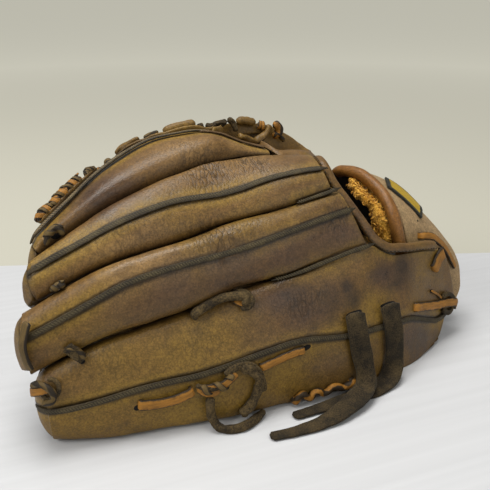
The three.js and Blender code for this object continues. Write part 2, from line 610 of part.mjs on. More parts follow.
// Leather edging of the hand opening, from the thumb side round to the heel: a point [x, y, z]
// of its middle and the direction that its face looks in.
const BINDING = { width: 6, thickness: 4 };
const BINDING_LINE = [
  { at: [50, 67, 130], face: [0, 0, 1] },
  { at: [45.5, 53, 132], face: [0, -0.2, 1] },
  { at: [46, 46, 128], face: [0, -0.6, 0.8] },
  { at: [48, 42, 122], face: [0, -0.8, 0.6] },
  { at: [51, 37.5, 116], face: [0, -0.8, 0.6] },
  { at: [54, 33, 111], face: [0, -0.8, 0.6] },
  { at: [58, 28, 104], face: [0, -0.8, 0.5] },
  { at: [62, 24, 97.5], face: [0, -0.9, 0.4] },
  { at: [65.5, 21.5, 91.5], face: [0, -0.9, 0.4] },
  { at: [69, 20, 87], face: [0, -0.9, 0.4] },
  { at: [74, 19.5, 83.5], face: [0, -0.9, 0.4] },
  { at: [80, 20, 80.5], face: [0, -0.9, 0.4] },
  { at: [87, 21.5, 79], face: [0, -0.9, 0.4] },
  { at: [95, 23, 77.5], face: [0.1, -0.9, 0.4] },
  { at: [104, 25.5, 76], face: [0.2, -0.9, 0.4] },
  { at: [114, 29, 74], face: [0.4, -0.9, 0.3] },
  { at: [124, 33, 71], face: [0.4, -0.9, 0.3] },
];
const bindingProfile = flat(BINDING.width, -BINDING.thickness / 2, BINDING.thickness / 2);
add('opening_binding', sweep(BINDING_LINE.map((row) => row.at), BINDING_LINE.map((row) => row.face),
  bindingProfile, 24), 'leather');

// Laces and knots, [x, y, z] along each one's middle. Flat ones look in a direction, round ones
// have a radius.
const LACE = { radius: 2.2, width: 5, thickness: 2 };
const SMALL_KNOT = 1.8; // radius
const SIDE = [0, -1, 0.15];
const HEEL_FACE = [0.43, -0.87, 0.22];
const LACES = [
  { name: 'ring_pinky_lace', finish: 'darkLace', radius: LACE.radius,
    line: [[-55, 3.3, 67.5], [-47, 4.3, 70.5], [-39, 4.8, 73], [-31, 3.8, 73.5], [-24.5, 2.3, 72], [-27, 0.8, 68]] },
  { name: 'hole_lace', finish: 'lace', face: SIDE,
    line: [[-91, -8.8, 23.5], [-84, -9.3, 22.5], [-76, -9.7, 22.5], [-69, -10.1, 23.5], [-62, -10.3, 26]] },
  { name: 'palm_knot_wrap', finish: 'lace', face: SIDE,
    line: [[-59, -10, 27], [-50, -11.8, 26.5], [-42, -12.2, 28.5], [-36, -11.2, 33]] },
  { name: 'palm_knot_tail', finish: 'darkLace', radius: LACE.radius,
    line: [[-52, -12.3, 21.5], [-52.5, -13.3, 15], [-51.5, -14.5, 8], [-48, -17.5, 3], [-41, -20.5, 2.6],
      [-33, -19.5, 2.6], [-26, -16, 2.6], [-19, -11, 2.6]] },
  { name: 'palm_knot_loop', finish: 'darkLace', radius: LACE.radius,
    line: [[-33, -11, 35], [-28.5, -12, 34], [-24.5, -12.8, 30], [-23, -13.3, 24], [-25, -13.6, 17],
      [-29, -14, 10.5], [-34.5, -14.6, 6.5]] },
  { name: 'long_lace', finish: 'lace', face: SIDE,
    line: [[-20, -10.2, 32.5], [-13, -10, 34], [-6, -9.5, 35.5], [1, -9, 36.5], [7, -8.4, 37]] },
  { name: 'edge_lace', finish: 'lace', radius: LACE.radius,
    line: [[2, -10.4, 4], [6, -11.2, 8.5], [11, -10.6, 4], [16, -10.6, 8], [22, -10, 4.5], [28, -9.8, 8],
      [35, -9.2, 5], [42, -8.6, 7]] },
  { name: 'pinky_tip_lace', finish: 'darkLace', radius: SMALL_KNOT,
    line: [[-145, 5.5, 40], [-142, 1, 43.5], [-138, -2.5, 42.5], [-135, -3.8, 38], [-137, -3.2, 33.5],
      [-141, 0, 32]] },
  { name: 'ring_pinky_knot', finish: 'darkLace', radius: SMALL_KNOT,
    line: [[-126, 2.4, 59], [-122.5, 2.1, 60], [-119, 1.9, 57], [-117.5, 1.3, 52.5]] },
  { name: 'middle_ring_knot', finish: 'darkLace', radius: SMALL_KNOT,
    line: [[-129, 18.5, 87], [-125.5, 18, 90], [-121.5, 16.8, 90]] },
  { name: 'index_middle_knot', finish: 'darkLace', radius: SMALL_KNOT,
    line: [[-127.5, 34.5, 107], [-126, 35, 112.5], [-121.5, 36.5, 115.5], [-118, 36, 111]] },
  { name: 'ring_tip_lace', finish: 'darkLace', face: [-0.8, -0.6, 0],
    line: [[-143.1, 7, 77], [-145.6, 6, 71], [-147.1, 4.5, 65], [-146.6, 3.5, 58], [-144.6, 3.5, 51]] },
  { name: 'strap_lace', finish: 'lace', face: [0.46, -0.8, 0.37],
    line: [[115.5, 36, 78], [124, 37.5, 76], [132, 40, 70.5], [139.5, 42, 64], [146, 43, 55.5], [152, 43.5, 46]] },
  { name: 'heel_corner_lace', finish: 'lace', face: HEEL_FACE,
    line: [[132.4, 33.4, 63.6], [129, 31.7, 62.2], [125.4, 29.4, 59.4], [122.3, 27.4, 56.2]] },
  { name: 'heel_lace', finish: 'lace', face: HEEL_FACE,
    line: [[99, 12.4, 38.2], [111.8, 17.7, 34.2], [124.4, 23.4, 30], [133.8, 27, 28.4], [140.6, 29.4, 26.4],
      [147.4, 32.4, 24], [151.6, 37, 18]] },
  { name: 'web_tip_lace', finish: 'darkLace', radius: 2.6,
    line: [[-128, 62, 111], [-126, 63, 115], [-121.5, 65.5, 117]] },
  { name: 'web_flange_lace', finish: 'lace', radius: 3,
    line: [[-118.5, 67, 119], [-114.9, 69, 122.2], [-110.3, 71.5, 125.1], [-105.7, 74, 127.6],
      [-101, 76.5, 130]] },
  { name: 'web_twist_lace', finish: 'darkLace', radius: 2.2,
    line: [[-98, 79.5, 131], [-95, 82.5, 132], [-92, 86.5, 131]] },
  { name: 'web_cross_lace', finish: 'lace', radius: 1.8,
    line: [[-89.5, 91, 129.6], [-88, 92.4, 129.4], [-86, 93.4, 130]] },
  { name: 'web_knot', finish: 'darkLace', radius: 2.4,
    line: [[-83.3, 94.8, 132.2], [-81, 96, 133], [-79, 97, 133.6]] },
  { name: 'web_edge_lace', finish: 'lace', radius: 1.6,
    line: [[-76, 94, 138], [-72.5, 92.5, 141.8], [-67.5, 91.5, 145], [-61.7, 90.5, 147.2]] },
  { name: 'web_thong', finish: 'darkLace', radius: 1.4,
    line: [[-59, 90, 147.6], [-54, 89, 150], [-50, 88.3, 151]] },
  { name: 'web_roll_front', finish: 'palm', radius: 2.8,
    line: [[-47, 88, 151], [-40.1, 88, 152.9], [-32.9, 88, 154.2], [-26.4, 88, 154.6]] },
  { name: 'web_loop', finish: 'darkLace', radius: 2,
    line: [[-24.8, 88, 153.4], [-22.8, 88, 152.4], [-20.8, 88, 152]] },
  { name: 'web_dark_lace', finish: 'darkLace', radius: 1.7,
    line: [[-19.4, 88, 152], [-13.8, 88, 152.4], [-8.4, 88, 153.4], [-5.4, 88.3, 154.4]] },
  { name: 'web_ring', finish: 'darkLace', radius: 1.6,
    line: [[-3.9, 89.5, 155.4], [-1.1, 89.8, 153.4], [0.9, 89.6, 149.9], [1.3, 89, 147]] },
  { name: 'web_roll_back', finish: 'palm', radius: 2.8,
    line: [[4, 94.5, 152.9], [10.7, 95, 152.1], [17.1, 95, 150.6]] },
  { name: 'web_tab', finish: 'palm', face: [0, -0.9, 0.3], width: 7, thickness: 2.4,
    line: [[2, 96, 146.5], [13, 97.5, 146.1], [24, 98, 145.5]] },
  { name: 'web_end_knot', finish: 'darkLace', radius: 1.8,
    line: [[19.2, 94.8, 149.3], [21.6, 94.8, 148.2], [23.8, 94.4, 147.8]] },
  { name: 'web_end_lace', finish: 'lace', radius: 1.8,
    line: [[27, 92.6, 148.6], [24.5, 91.6, 145], [19.4, 89.6, 141.5], [12.9, 87.6, 140], [6.5, 85.6, 143],
      [1.6, 84, 145.6]] },
  { name: 'web_end_loop', finish: 'lace', radius: 2.4,
    line: [[30.3, 94, 149.5], [34.1, 94.5, 145.8], [33.3, 94.5, 141.5], [29.7, 94, 141]] },
  { name: 'web_end_tail', finish: 'darkLace', radius: 1.5,
    line: [[35.5, 95.5, 140], [37.4, 96, 138], [39.1, 96.5, 136]] },
];
for (const { name, finish, line, face, radius, width = LACE.width, thickness = LACE.thickness } of LACES) {
  const profile = face ? flat(width, -thickness / 2, thickness / 2) : round(radius);
  add(name, sweep(line, [face ?? [0, -1, 0.5]], profile, Math.max(4, 2 * line.length - 3)), finish);
}

// Suede straps that hang from slots in the heel and trail over the table towards the fingers.
const SUEDE = { width: 13, thickness: 2.4, tip: 0.55 };
const SUEDE_STRAPS = [
  { name: 'pinky_strap_front',
    line: [[43.5, -3, 52.5], [44, -5.6, 45], [45, -7.2, 38.5], [46.5, -7.8, 30], [48.5, -8.8, 21],
      [49.5, -11, 13], [47.5, -15.2, 9], [42, -20, 7.4], [33, -25, 5.8], [23, -29.2, 4.4],
      [12, -32, 2.6], [1, -33.2, 1.9], [-10, -33.8, 1.8], [-24, -33, 1.8]] },
  { name: 'pinky_strap_rear',
    line: [[71.5, 2.2, 51], [72.5, 0.4, 43], [73.5, -0.8, 36], [74.5, -1.8, 28], [74.5, -3.2, 19],
      [73, -5.2, 10.5], [68, -9, 4.4], [56, -13, 1.8], [40, -15.6, 1.8], [25, -17.8, 1.8],
      [10, -19.4, 1.8], [-4, -20.4, 1.8]] },
];
for (const { name, line } of SUEDE_STRAPS) {
  const ups = line.map(([, , z]) => [0, -smoothstep(z, 3, 22), 1 - smoothstep(z, 3, 22)]);
  const profile = flat(SUEDE.width, -SUEDE.thickness / 2, SUEDE.thickness / 2);
  const taper = (t) => 1 - (1 - SUEDE.tip) * smoothstep(t, 0.6, 1);
  add(name, sweep(line, ups, profile, 20, taper), 'suede');
}

glove.position.set(-GLOVE_CENTRE.x, -GLOVE_CENTRE.y, -GLOVE_CENTRE.z);

export default glove;
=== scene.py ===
"""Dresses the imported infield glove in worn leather, rawhide laces, piping, suede and pile.

The glove lies palm down on a table. X runs from the fingertips to the wrist, Y from the little
finger to the thumb and Z up, in metres. Tables give places and sizes in millimetres.
"""

from __future__ import annotations

import json
import logging
import math
from collections.abc import Callable, Sequence
from dataclasses import dataclass, field, fields
from enum import Enum

import bmesh
import bpy
import numpy as np
from mathutils import Matrix, Vector
from mathutils.bvhtree import BVHTree
from mathutils.kdtree import KDTree

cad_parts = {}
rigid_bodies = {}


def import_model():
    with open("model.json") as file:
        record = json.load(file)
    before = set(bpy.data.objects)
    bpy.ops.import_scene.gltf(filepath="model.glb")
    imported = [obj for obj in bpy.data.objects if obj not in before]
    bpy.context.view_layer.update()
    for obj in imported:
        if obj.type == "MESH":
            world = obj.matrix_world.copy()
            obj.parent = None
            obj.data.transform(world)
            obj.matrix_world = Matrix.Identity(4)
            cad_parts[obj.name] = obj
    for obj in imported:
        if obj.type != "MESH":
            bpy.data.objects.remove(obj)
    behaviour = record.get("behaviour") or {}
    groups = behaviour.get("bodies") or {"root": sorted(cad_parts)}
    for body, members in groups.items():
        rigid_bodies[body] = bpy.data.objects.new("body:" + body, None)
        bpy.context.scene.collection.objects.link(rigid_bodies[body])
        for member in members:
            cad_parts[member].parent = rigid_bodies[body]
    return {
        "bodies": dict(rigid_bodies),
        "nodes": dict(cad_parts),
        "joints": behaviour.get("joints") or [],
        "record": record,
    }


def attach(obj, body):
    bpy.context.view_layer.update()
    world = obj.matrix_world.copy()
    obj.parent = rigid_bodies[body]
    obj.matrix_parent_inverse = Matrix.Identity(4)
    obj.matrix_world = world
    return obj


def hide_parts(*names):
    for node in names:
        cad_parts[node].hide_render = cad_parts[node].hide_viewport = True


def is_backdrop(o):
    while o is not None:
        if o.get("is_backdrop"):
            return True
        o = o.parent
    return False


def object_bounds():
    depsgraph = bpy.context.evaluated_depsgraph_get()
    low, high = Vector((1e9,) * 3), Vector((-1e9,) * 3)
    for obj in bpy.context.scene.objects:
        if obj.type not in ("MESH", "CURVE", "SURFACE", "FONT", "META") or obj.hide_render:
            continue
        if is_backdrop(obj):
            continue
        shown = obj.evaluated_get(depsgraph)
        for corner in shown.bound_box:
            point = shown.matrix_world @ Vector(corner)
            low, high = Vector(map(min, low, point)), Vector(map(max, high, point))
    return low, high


LOG = logging.getLogger("glove")
MM = 0.001
BODY = "root"
WELD = 0.002  # corners of a CAD solid closer than this are one, mm
PANEL_BEND = 40  # two triangles that bend less make one panel, degrees
PANEL_SKEW = 80  # how far a panel's corners may be from square, degrees
CRISP_BEND = 55  # an edge that bends more stays crisp, degrees
FLAT_BEND = 0.01  # faces that bend less lie in one plane, radians
PUSHES = 3  # how often a shell's corners are pushed back out
PUSH = 0.8  # by what share of their shift each time
END_ROUND = 0.45  # radius of a bar's rounded end, as a share of its height
SLICE = 12  # length over which a shell's outer wall is told from its inner one, mm

Triple = tuple[float, float, float]
Tree = bpy.types.NodeTree
Node = bpy.types.Node
Socket = bpy.types.NodeSocket


def linear(hex_colour: str) -> tuple[float, float, float, float]:
    """Turn an sRGB hex colour into a linear one.

    Args:
        hex_colour: the colour, such as "#6b4f32".

    Returns:
        Red, green, blue and an alpha of one.
    """
    channels = [int(hex_colour[i : i + 2], 16) / 255 for i in (1, 3, 5)]
    return (*(c / 12.92 if c <= 0.04045 else ((c + 0.055) / 1.055) ** 2.4 for c in channels), 1.0)


def add_node(tree: Tree, kind: str, links: dict[int | str, object] | None = None,
             **settings: object) -> Node:
    """Add a node to a tree with its settings and links.

    Args:
        tree: the tree of a material or of a modifier.
        kind: the node's type.
        links: what each input gets, by its name or number: another node's output or a plain value.
        **settings: the node's own properties.

    Returns:
        The new node.
    """
    node = tree.nodes.new(kind)
    for key, value in settings.items():
        setattr(node, key, value)
    for key, value in (links or {}).items():
        socket = node.inputs[key]
        if isinstance(value, Socket):
            tree.links.new(value, socket)
        else:
            socket.default_value = value
    return node


def geometry_tree(name: str, **inputs: str) -> tuple[Tree, Node]:
    """Start a Geometry Nodes tree.

    Args:
        name: the tree's name.
        **inputs: the kind of each named input that it has beside the geometry.

    Returns:
        The tree and the node that gives its inputs.
    """
    tree = bpy.data.node_groups.new(name, "GeometryNodeTree")
    for label, kind in {"Geometry": "Geometry", **inputs}.items():
        tree.interface.new_socket(label, in_out="INPUT", socket_type=f"NodeSocket{kind}")
    tree.interface.new_socket("Geometry", in_out="OUTPUT", socket_type="NodeSocketGeometry")
    return tree, add_node(tree, "NodeGroupInput")


def end_tree(tree: Tree, instances: Node, material: bpy.types.Material) -> None:
    """End a Geometry Nodes tree: its instances become real, smooth and of one material.

    Args:
        tree: the tree.
        instances: the node that makes the instances.
        material: what they are made of.
    """
    real = add_node(tree, "GeometryNodeRealizeInstances", {0: instances.outputs[0]})
    smooth = add_node(tree, "GeometryNodeSetShadeSmooth", {0: real.outputs[0]})
    made = add_node(tree, "GeometryNodeSetMaterial", {"Geometry": smooth.outputs[0], "Material": material})
    add_node(tree, "NodeGroupOutput", {0: made.outputs[0]})


def smoothstep(low: float, high: float, value: np.ndarray) -> np.ndarray:
    """Rise smoothly from nought at low to one at high; low may be the larger of the two."""
    t = np.clip((value - low) / (high - low), 0, 1)
    return t * t * (3 - 2 * t)


def lumpy(points: np.ndarray, size: float, seed: int) -> np.ndarray:
    """Smooth seeded noise over space.

    Args:
        points: places, in metres, one a row.
        size: the width of a lump, in millimetres.
        seed: the noise's seed.

    Returns:
        A value from -1 to 1 at each place.
    """
    scaled = points / (size * MM) + 101.7
    cell = np.floor(scaled).astype(np.int64)
    part = scaled - cell
    part = part * part * (3 - 2 * part)
    total = np.zeros(len(points))
    for corner in range(8):
        bits = np.array([(corner >> k) & 1 for k in range(3)])
        key = (cell + bits) @ np.array([73856093, 19349663, 83492791]) + seed * 2654435761
        key = (key ^ (key >> 13)) * 1274126177
        value = ((key ^ (key >> 16)) & 0xFFFF) / 32767.5 - 1
        total += value * np.prod(np.where(bits, part, 1 - part), axis=1)
    return total


@dataclass(frozen=True)
class Lumps:
    """Unevenness of a surface: how high its lumps are and how wide, in millimetres, and a seed."""

    height: float
    size: float
    seed: int

    def at(self, points: np.ndarray) -> np.ndarray:
        """Give how far each point lies out of the surface, in millimetres."""
        return self.height * lumpy(points, self.size, self.seed)


@dataclass(frozen=True)
class Finish:
    """A finish of the glove: its colour, gloss and the record's slot that it belongs to."""

    name: str
    slot: str
    colour: str
    roughness: float = 0.6
    sheen: float = 0.0
    specular: float = 0.3

    def material(self) -> bpy.types.Material:
        """Build the finish's material.

        Returns:
            The material, with its shader's plain values set on its own sockets.
        """
        material = bpy.data.materials.new(self.name)
        material.use_nodes = True
        tree = material.node_tree
        tree.nodes.clear()
        shader = add_node(tree, "ShaderNodeBsdfPrincipled", {
            "Roughness": self.roughness, "Sheen Weight": self.sheen, "Specular IOR Level": self.specular})
        shader.inputs["Base Color"].default_value = linear(self.colour)
        add_node(tree, "ShaderNodeOutputMaterial", {"Surface": shader.outputs[0]})
        self.detail(tree, shader)
        return material

    def detail(self, tree: Tree, shader: Node) -> None:
        """Add the finish's pattern to its shader.

        Args:
            tree: the material's tree.
            shader: its shader.
        """


@dataclass(frozen=True)
class Leather(Finish):
    """Oil-tanned cowhide, worn: a fine grain under a net of creases, wrinkled where it bends,
    darker with soot stains and with painted shade where it meets the next leather, and rubbed
    pale or plum-brown where it is handled.

    The vertex colour of its wear and shade says where it is golden, plum, sooty, darkened by
    painted shade, and pale, and the one named marks says where it is wrinkled, where it shines
    and where a painted shadow line runs in a seam's groove or a crease.
    """

    gold: str = "#7d6224"
    plum: str = "#453227"
    # the colour of soot stains, and of the painted shade in the creases between leathers
    soot: str = "#2b2015"
    pale: str = "#957548"
    grain: float = 0.9  # width of a pebble, mm; the real 0.5 mm wouldn't show
    net: float = 2.6  # width between the creases that cover it all, mm
    wrinkle: float = 6.5  # width between the wrinkles of its bends, mm
    sway: float = 4.0  # how far creases and wrinkles sway, mm

    def detail(self, tree: Tree, shader: Node) -> None:
        """Mix the worn colours and the painted shade, then darken and press in the grain, creases
        and wrinkles.

        Args:
            tree: the material's tree.
            shader: its shader.
        """
        place = add_node(tree, "ShaderNodeTexCoord").outputs["Object"]
        wear = add_node(tree, "ShaderNodeAttribute", attribute_name="wear")
        marks = add_node(tree, "ShaderNodeAttribute", attribute_name="marks")
        mark = add_node(tree, "ShaderNodeSeparateColor", {"Color": marks.outputs["Color"]}).outputs
        cloud, mottle, speck, bend = (
            add_node(tree, "ShaderNodeTexNoise", {
                "Vector": place, "Scale": 1 / (size * MM), "Detail": detail, "Roughness": rough}).outputs
            for size, detail, rough in (
                (26, 5.0, 0.62),  # clouds that fray the worn patches
                (4.5, 6.0, 0.75),  # mottling of colour and gloss
                (1.1, 2.0, 0.6),  # specks in the grain
                (7, 3.0, 0.5),  # sway of the creases
            )
        )
        shade = self.worn(tree, wear, cloud["Fac"])

        sway = (self.sway * MM, self.sway * MM, self.sway * MM)
        bent = add_node(tree, "ShaderNodeVectorMath", {
            0: bend["Color"], 1: sway, 2: place}, operation="MULTIPLY_ADD").outputs[0]
        net = self.cracks(tree, bent, self.net, 0.1)
        across = add_node(tree, "ShaderNodeMapping", {"Vector": bent, "Scale": (2.7, 0.8, 0.8)})
        wrinkle = self.cracks(tree, across.outputs[0], self.wrinkle, 0.16)
        fold = add_node(tree, "ShaderNodeMath", {0: wrinkle, 1: -1.0, 2: 1.0}, operation="MULTIPLY_ADD")
        folded = add_node(tree, "ShaderNodeMath", {
            0: fold.outputs[0], 1: mark[0]}, operation="MULTIPLY").outputs[0]

        # Each row has a pattern, the range that it is read over, and how dark and light it makes the hide.
        for value, start, end, low, high in (
            (mottle["Fac"], 0.3, 0.7, 0.68, 1.28),
            (speck["Fac"], 0.3, 0.7, 0.7, 1.25),
            (net, 0.0, 1.0, 0.84, 1.03),
            (folded, 1.0, 0.0, 0.3, 1.0),
            # painted shadow lines in the creases between leathers and in the grooves beside the piping
            (mark[2], 1.0, 0.0, 0.16, 1.0),
        ):
            factor = add_node(tree, "ShaderNodeMapRange", {
                "Value": value, "From Min": start, "From Max": end, "To Min": low, "To Max": high})
            shade = add_node(tree, "ShaderNodeVectorMath", {
                0: shade, "Scale": factor.outputs[0]}, operation="SCALE").outputs[0]
        tree.links.new(shade, shader.inputs["Base Color"])

        gloss = add_node(tree, "ShaderNodeMapRange", {
            "Value": mottle["Fac"], "From Min": 0.3, "From Max": 0.7, "To Min": self.roughness - 0.08,
            "To Max": self.roughness + 0.1})
        shiny = add_node(tree, "ShaderNodeMath", {
            0: mark[1], 1: -0.16, 2: gloss.outputs[0]}, operation="MULTIPLY_ADD", use_clamp=True)
        tree.links.new(shiny.outputs[0], shader.inputs["Roughness"])
        self.relief(tree, shader, place, folded, net)

    @staticmethod
    def cracks(tree: Tree, place: Socket, size: float, width: float) -> Socket:
        """Add a net of lines.

        Args:
            tree: the material's tree.
            place: the coordinates that it reads.
            size: the width of its meshes, in millimetres.
            width: the width of a line, as a share of a mesh.

        Returns:
            Nought on a line and one off it.
        """
        cells = add_node(tree, "ShaderNodeTexVoronoi", {"Vector": place, "Scale": 1 / (size * MM)},
                         feature="DISTANCE_TO_EDGE")
        line = add_node(tree, "ShaderNodeMapRange", {"Value": cells.outputs["Distance"], "From Max": width})
        return line.outputs[0]

    def worn(self, tree: Tree, wear: Node, cloud: Socket) -> Socket:
        """Lay the worn colours and the painted shade over the leather's own, each patch with a ragged edge.

        Args:
            tree: the material's tree.
            wear: the node that reads the vertex colour "wear".
            cloud: the noise that frays the patches.

        Returns:
            The colour.
        """
        parts = add_node(tree, "ShaderNodeSeparateColor", {"Color": wear.outputs["Color"]}).outputs
        own = add_node(tree, "ShaderNodeRGB")
        own.outputs[0].default_value = linear(self.colour)
        shade = own.outputs[0]
        torn = add_node(tree, "ShaderNodeMath", {0: cloud, 1: 0.5}, operation="SUBTRACT")
        for hex_colour, amount, ragged in (
            (self.gold, parts[0], 1.5),
            (self.pale, wear.outputs["Alpha"], 1.2),
            (self.plum, parts[1], 1.3),
            (self.soot, parts[2], 1.6),
        ):
            edge = add_node(tree, "ShaderNodeMath", {
                0: torn.outputs[0], 1: ragged, 2: amount}, operation="MULTIPLY_ADD")
            inside = add_node(tree, "ShaderNodeMath", {
                0: edge.outputs[0], 1: amount}, operation="MULTIPLY", use_clamp=True)
            fuller = add_node(tree, "ShaderNodeMath", {
                0: inside.outputs[0], 1: 0.6}, operation="POWER", use_clamp=True)
            shade = add_node(tree, "ShaderNodeMix", {
                0: fuller.outputs[0], 6: shade, 7: linear(hex_colour)}, data_type="RGBA").outputs[2]
        return shade

    def relief(self, tree: Tree, shader: Node, place: Socket, folded: Socket, net: Socket) -> None:
        """Press the wrinkles, the net of creases and the grain into the surface.

        Args:
            tree: the material's tree.
            shader: its shader.
            place: the coordinates that the grain reads.
            folded: the wrinkles, one in the depth of a fold.
            net: the net of creases, nought in a crease.
        """
        pebble = add_node(tree, "ShaderNodeTexVoronoi", {"Vector": place, "Scale": 1 / (self.grain * MM)},
                          feature="SMOOTH_F1")
        deep = add_node(tree, "ShaderNodeBump", {
            "Strength": 0.45, "Distance": 0.45 * MM, "Height": folded}, invert=True)
        middle = add_node(tree, "ShaderNodeBump", {
            "Strength": 0.25, "Distance": 0.25 * MM, "Height": net, "Normal": deep.outputs[0]})
        fine = add_node(tree, "ShaderNodeBump", {
            "Strength": 0.35, "Distance": 0.2 * MM, "Height": pebble.outputs["Distance"],
            "Normal": middle.outputs[0]})
        tree.links.new(fine.outputs[0], shader.inputs["Normal"])


@dataclass(frozen=True)
class Rawhide(Finish):
    """Rawhide lace: orange-tan flesh, with edges that years of grip have turned olive-black.

    The UV map runs along the lace in metres and round it from 0 to 1, with the middle of its
    outer face at 0.25.
    """

    edge: str = "#332a1b"
    bare: float = 0.5  # share of the face that still shows the colour

    def detail(self, tree: Tree, shader: Node) -> None:
        """Darken the edges, streak the colour along the lace and raise its fibres.

        Args:
            tree: the material's tree.
            shader: its shader.
        """
        place = add_node(tree, "ShaderNodeTexCoord").outputs
        round_it = add_node(tree, "ShaderNodeSeparateXYZ", {0: place["UV"]}).outputs[1]
        turn = add_node(tree, "ShaderNodeMath", {0: round_it, 1: 4 * math.pi}, operation="MULTIPLY")
        face = add_node(tree, "ShaderNodeMath", {0: turn.outputs[0]}, operation="COSINE")
        worn, grit = (
            add_node(tree, "ShaderNodeTexNoise", {
                "Vector": place["Object"], "Scale": 1 / (size * MM), "Detail": detail,
                "Roughness": rough}).outputs["Fac"]
            for size, detail, rough in (
                (3.2, 4.0, 0.65),  # where grip has worn the colour off
                (0.9, 3.0, 0.5),  # grit between the fibres
            )
        )
        ragged = add_node(tree, "ShaderNodeMath", {0: worn, 1: 2.6, 2: -1.3}, operation="MULTIPLY_ADD")
        amount = add_node(tree, "ShaderNodeMath", {0: face.outputs[0], 1: ragged.outputs[0]}, operation="ADD")
        dirty = add_node(tree, "ShaderNodeMapRange", {
            "Value": amount.outputs[0], "From Min": -self.bare - 0.35, "From Max": -self.bare + 0.45})
        mix = add_node(tree, "ShaderNodeMix", {
            0: dirty.outputs[0], 6: linear(self.colour), 7: linear(self.edge)}, data_type="RGBA")
        streak = add_node(tree, "ShaderNodeMapping", {"Vector": place["UV"], "Scale": (140.0, 26.0, 1.0)})
        fibre = add_node(tree, "ShaderNodeTexNoise", {
            "Vector": streak.outputs[0], "Scale": 1.0, "Detail": 3.0}).outputs["Fac"]
        bright = add_node(tree, "ShaderNodeMapRange", {
            "Value": fibre, "From Min": 0.3, "From Max": 0.7, "To Min": 0.7, "To Max": 1.2})
        shade = add_node(tree, "ShaderNodeVectorMath", {
            0: mix.outputs[2], "Scale": bright.outputs[0]}, operation="SCALE")
        tree.links.new(shade.outputs[0], shader.inputs["Base Color"])
        height = add_node(tree, "ShaderNodeMath", {0: fibre, 1: grit}, operation="ADD")
        relief = add_node(tree, "ShaderNodeBump", {
            "Strength": 0.5, "Distance": 0.4 * MM, "Height": height.outputs[0]})
        tree.links.new(relief.outputs[0], shader.inputs["Normal"])


@dataclass(frozen=True)
class Nap(Finish):
    """A napped or curly surface: suede, wool pile and waxed piping differ in grit and contrast."""

    grit: float = 0.9  # width of a tuft, mm; the real 0.2 mm wouldn't show
    contrast: float = 0.35
    light: str = "#6a5a44"
    height: float = 0.5  # relief of the nap, mm

    def detail(self, tree: Tree, shader: Node) -> None:
        """Speckle the colour with lighter tufts and roughen the surface.

        Args:
            tree: the material's tree.
            shader: its shader.
        """
        place = add_node(tree, "ShaderNodeTexCoord").outputs["Object"]
        tuft = add_node(tree, "ShaderNodeTexNoise", {
            "Vector": place, "Scale": 1 / (self.grit * MM), "Detail": 4.0, "Roughness": 0.75}).outputs["Fac"]
        patch = add_node(tree, "ShaderNodeTexNoise", {"Vector": place, "Scale": 1 / (9 * MM), "Detail": 4.0})
        both = add_node(tree, "ShaderNodeMath", {
            0: patch.outputs["Fac"], 1: 0.6, 2: tuft}, operation="MULTIPLY_ADD")
        amount = add_node(tree, "ShaderNodeMapRange", {
            "Value": both.outputs[0], "From Min": 0.72, "From Max": 1.0, "To Max": self.contrast})
        mix = add_node(tree, "ShaderNodeMix", {
            0: amount.outputs[0], 6: linear(self.colour), 7: linear(self.light)}, data_type="RGBA")
        tree.links.new(mix.outputs[2], shader.inputs["Base Color"])
        relief = add_node(tree, "ShaderNodeBump", {
            "Strength": 0.6, "Distance": self.height * MM, "Height": tuft})
        tree.links.new(relief.outputs[0], shader.inputs["Normal"])


@dataclass(frozen=True)
class Woven(Finish):
    """Satin-stitched patch: yellow thread in fine rows, with a dark overlocked border.

    The vertex attribute "rim" holds the distance from the patch's edge in millimetres.
    """

    border: str = "#23241d"
    border_width: float = 2.6  # mm
    thread: float = 0.9  # thread spacing in mm; the real 0.4 mm wouldn't show

    def detail(self, tree: Tree, shader: Node) -> None:
        """Run the threads over the patch and darken its border.

        Args:
            tree: the material's tree.
            shader: its shader.
        """
        place = add_node(tree, "ShaderNodeTexCoord").outputs["Object"]
        rim = add_node(tree, "ShaderNodeAttribute", attribute_name="rim").outputs["Fac"]
        wobble = add_node(tree, "ShaderNodeTexNoise", {"Vector": place, "Scale": 1 / (4 * MM), "Detail": 3.0})
        edge = add_node(tree, "ShaderNodeMath", {
            0: wobble.outputs["Fac"], 1: 1.4, 2: rim}, operation="MULTIPLY_ADD")
        inside = add_node(tree, "ShaderNodeMapRange", {
            "Value": edge.outputs[0], "From Min": self.border_width + 0.5,
            "From Max": self.border_width + 0.9})
        rows = add_node(tree, "ShaderNodeTexWave", {
            "Vector": place, "Scale": 0.314 / (self.thread * MM), "Distortion": 0.8, "Detail": 1.0},
            bands_direction="DIAGONAL").outputs["Fac"]
        tone = add_node(tree, "ShaderNodeMapRange", {"Value": rows, "To Min": 0.62, "To Max": 1.1})
        mix = add_node(tree, "ShaderNodeMix", {
            0: inside.outputs[0], 6: linear(self.border), 7: linear(self.colour)}, data_type="RGBA")
        shade = add_node(tree, "ShaderNodeVectorMath", {
            0: mix.outputs[2], "Scale": tone.outputs[0]}, operation="SCALE")
        tree.links.new(shade.outputs[0], shader.inputs["Base Color"])
        relief = add_node(tree, "ShaderNodeBump", {"Strength": 0.6, "Distance": 0.4 * MM, "Height": rows})
        tree.links.new(relief.outputs[0], shader.inputs["Normal"])


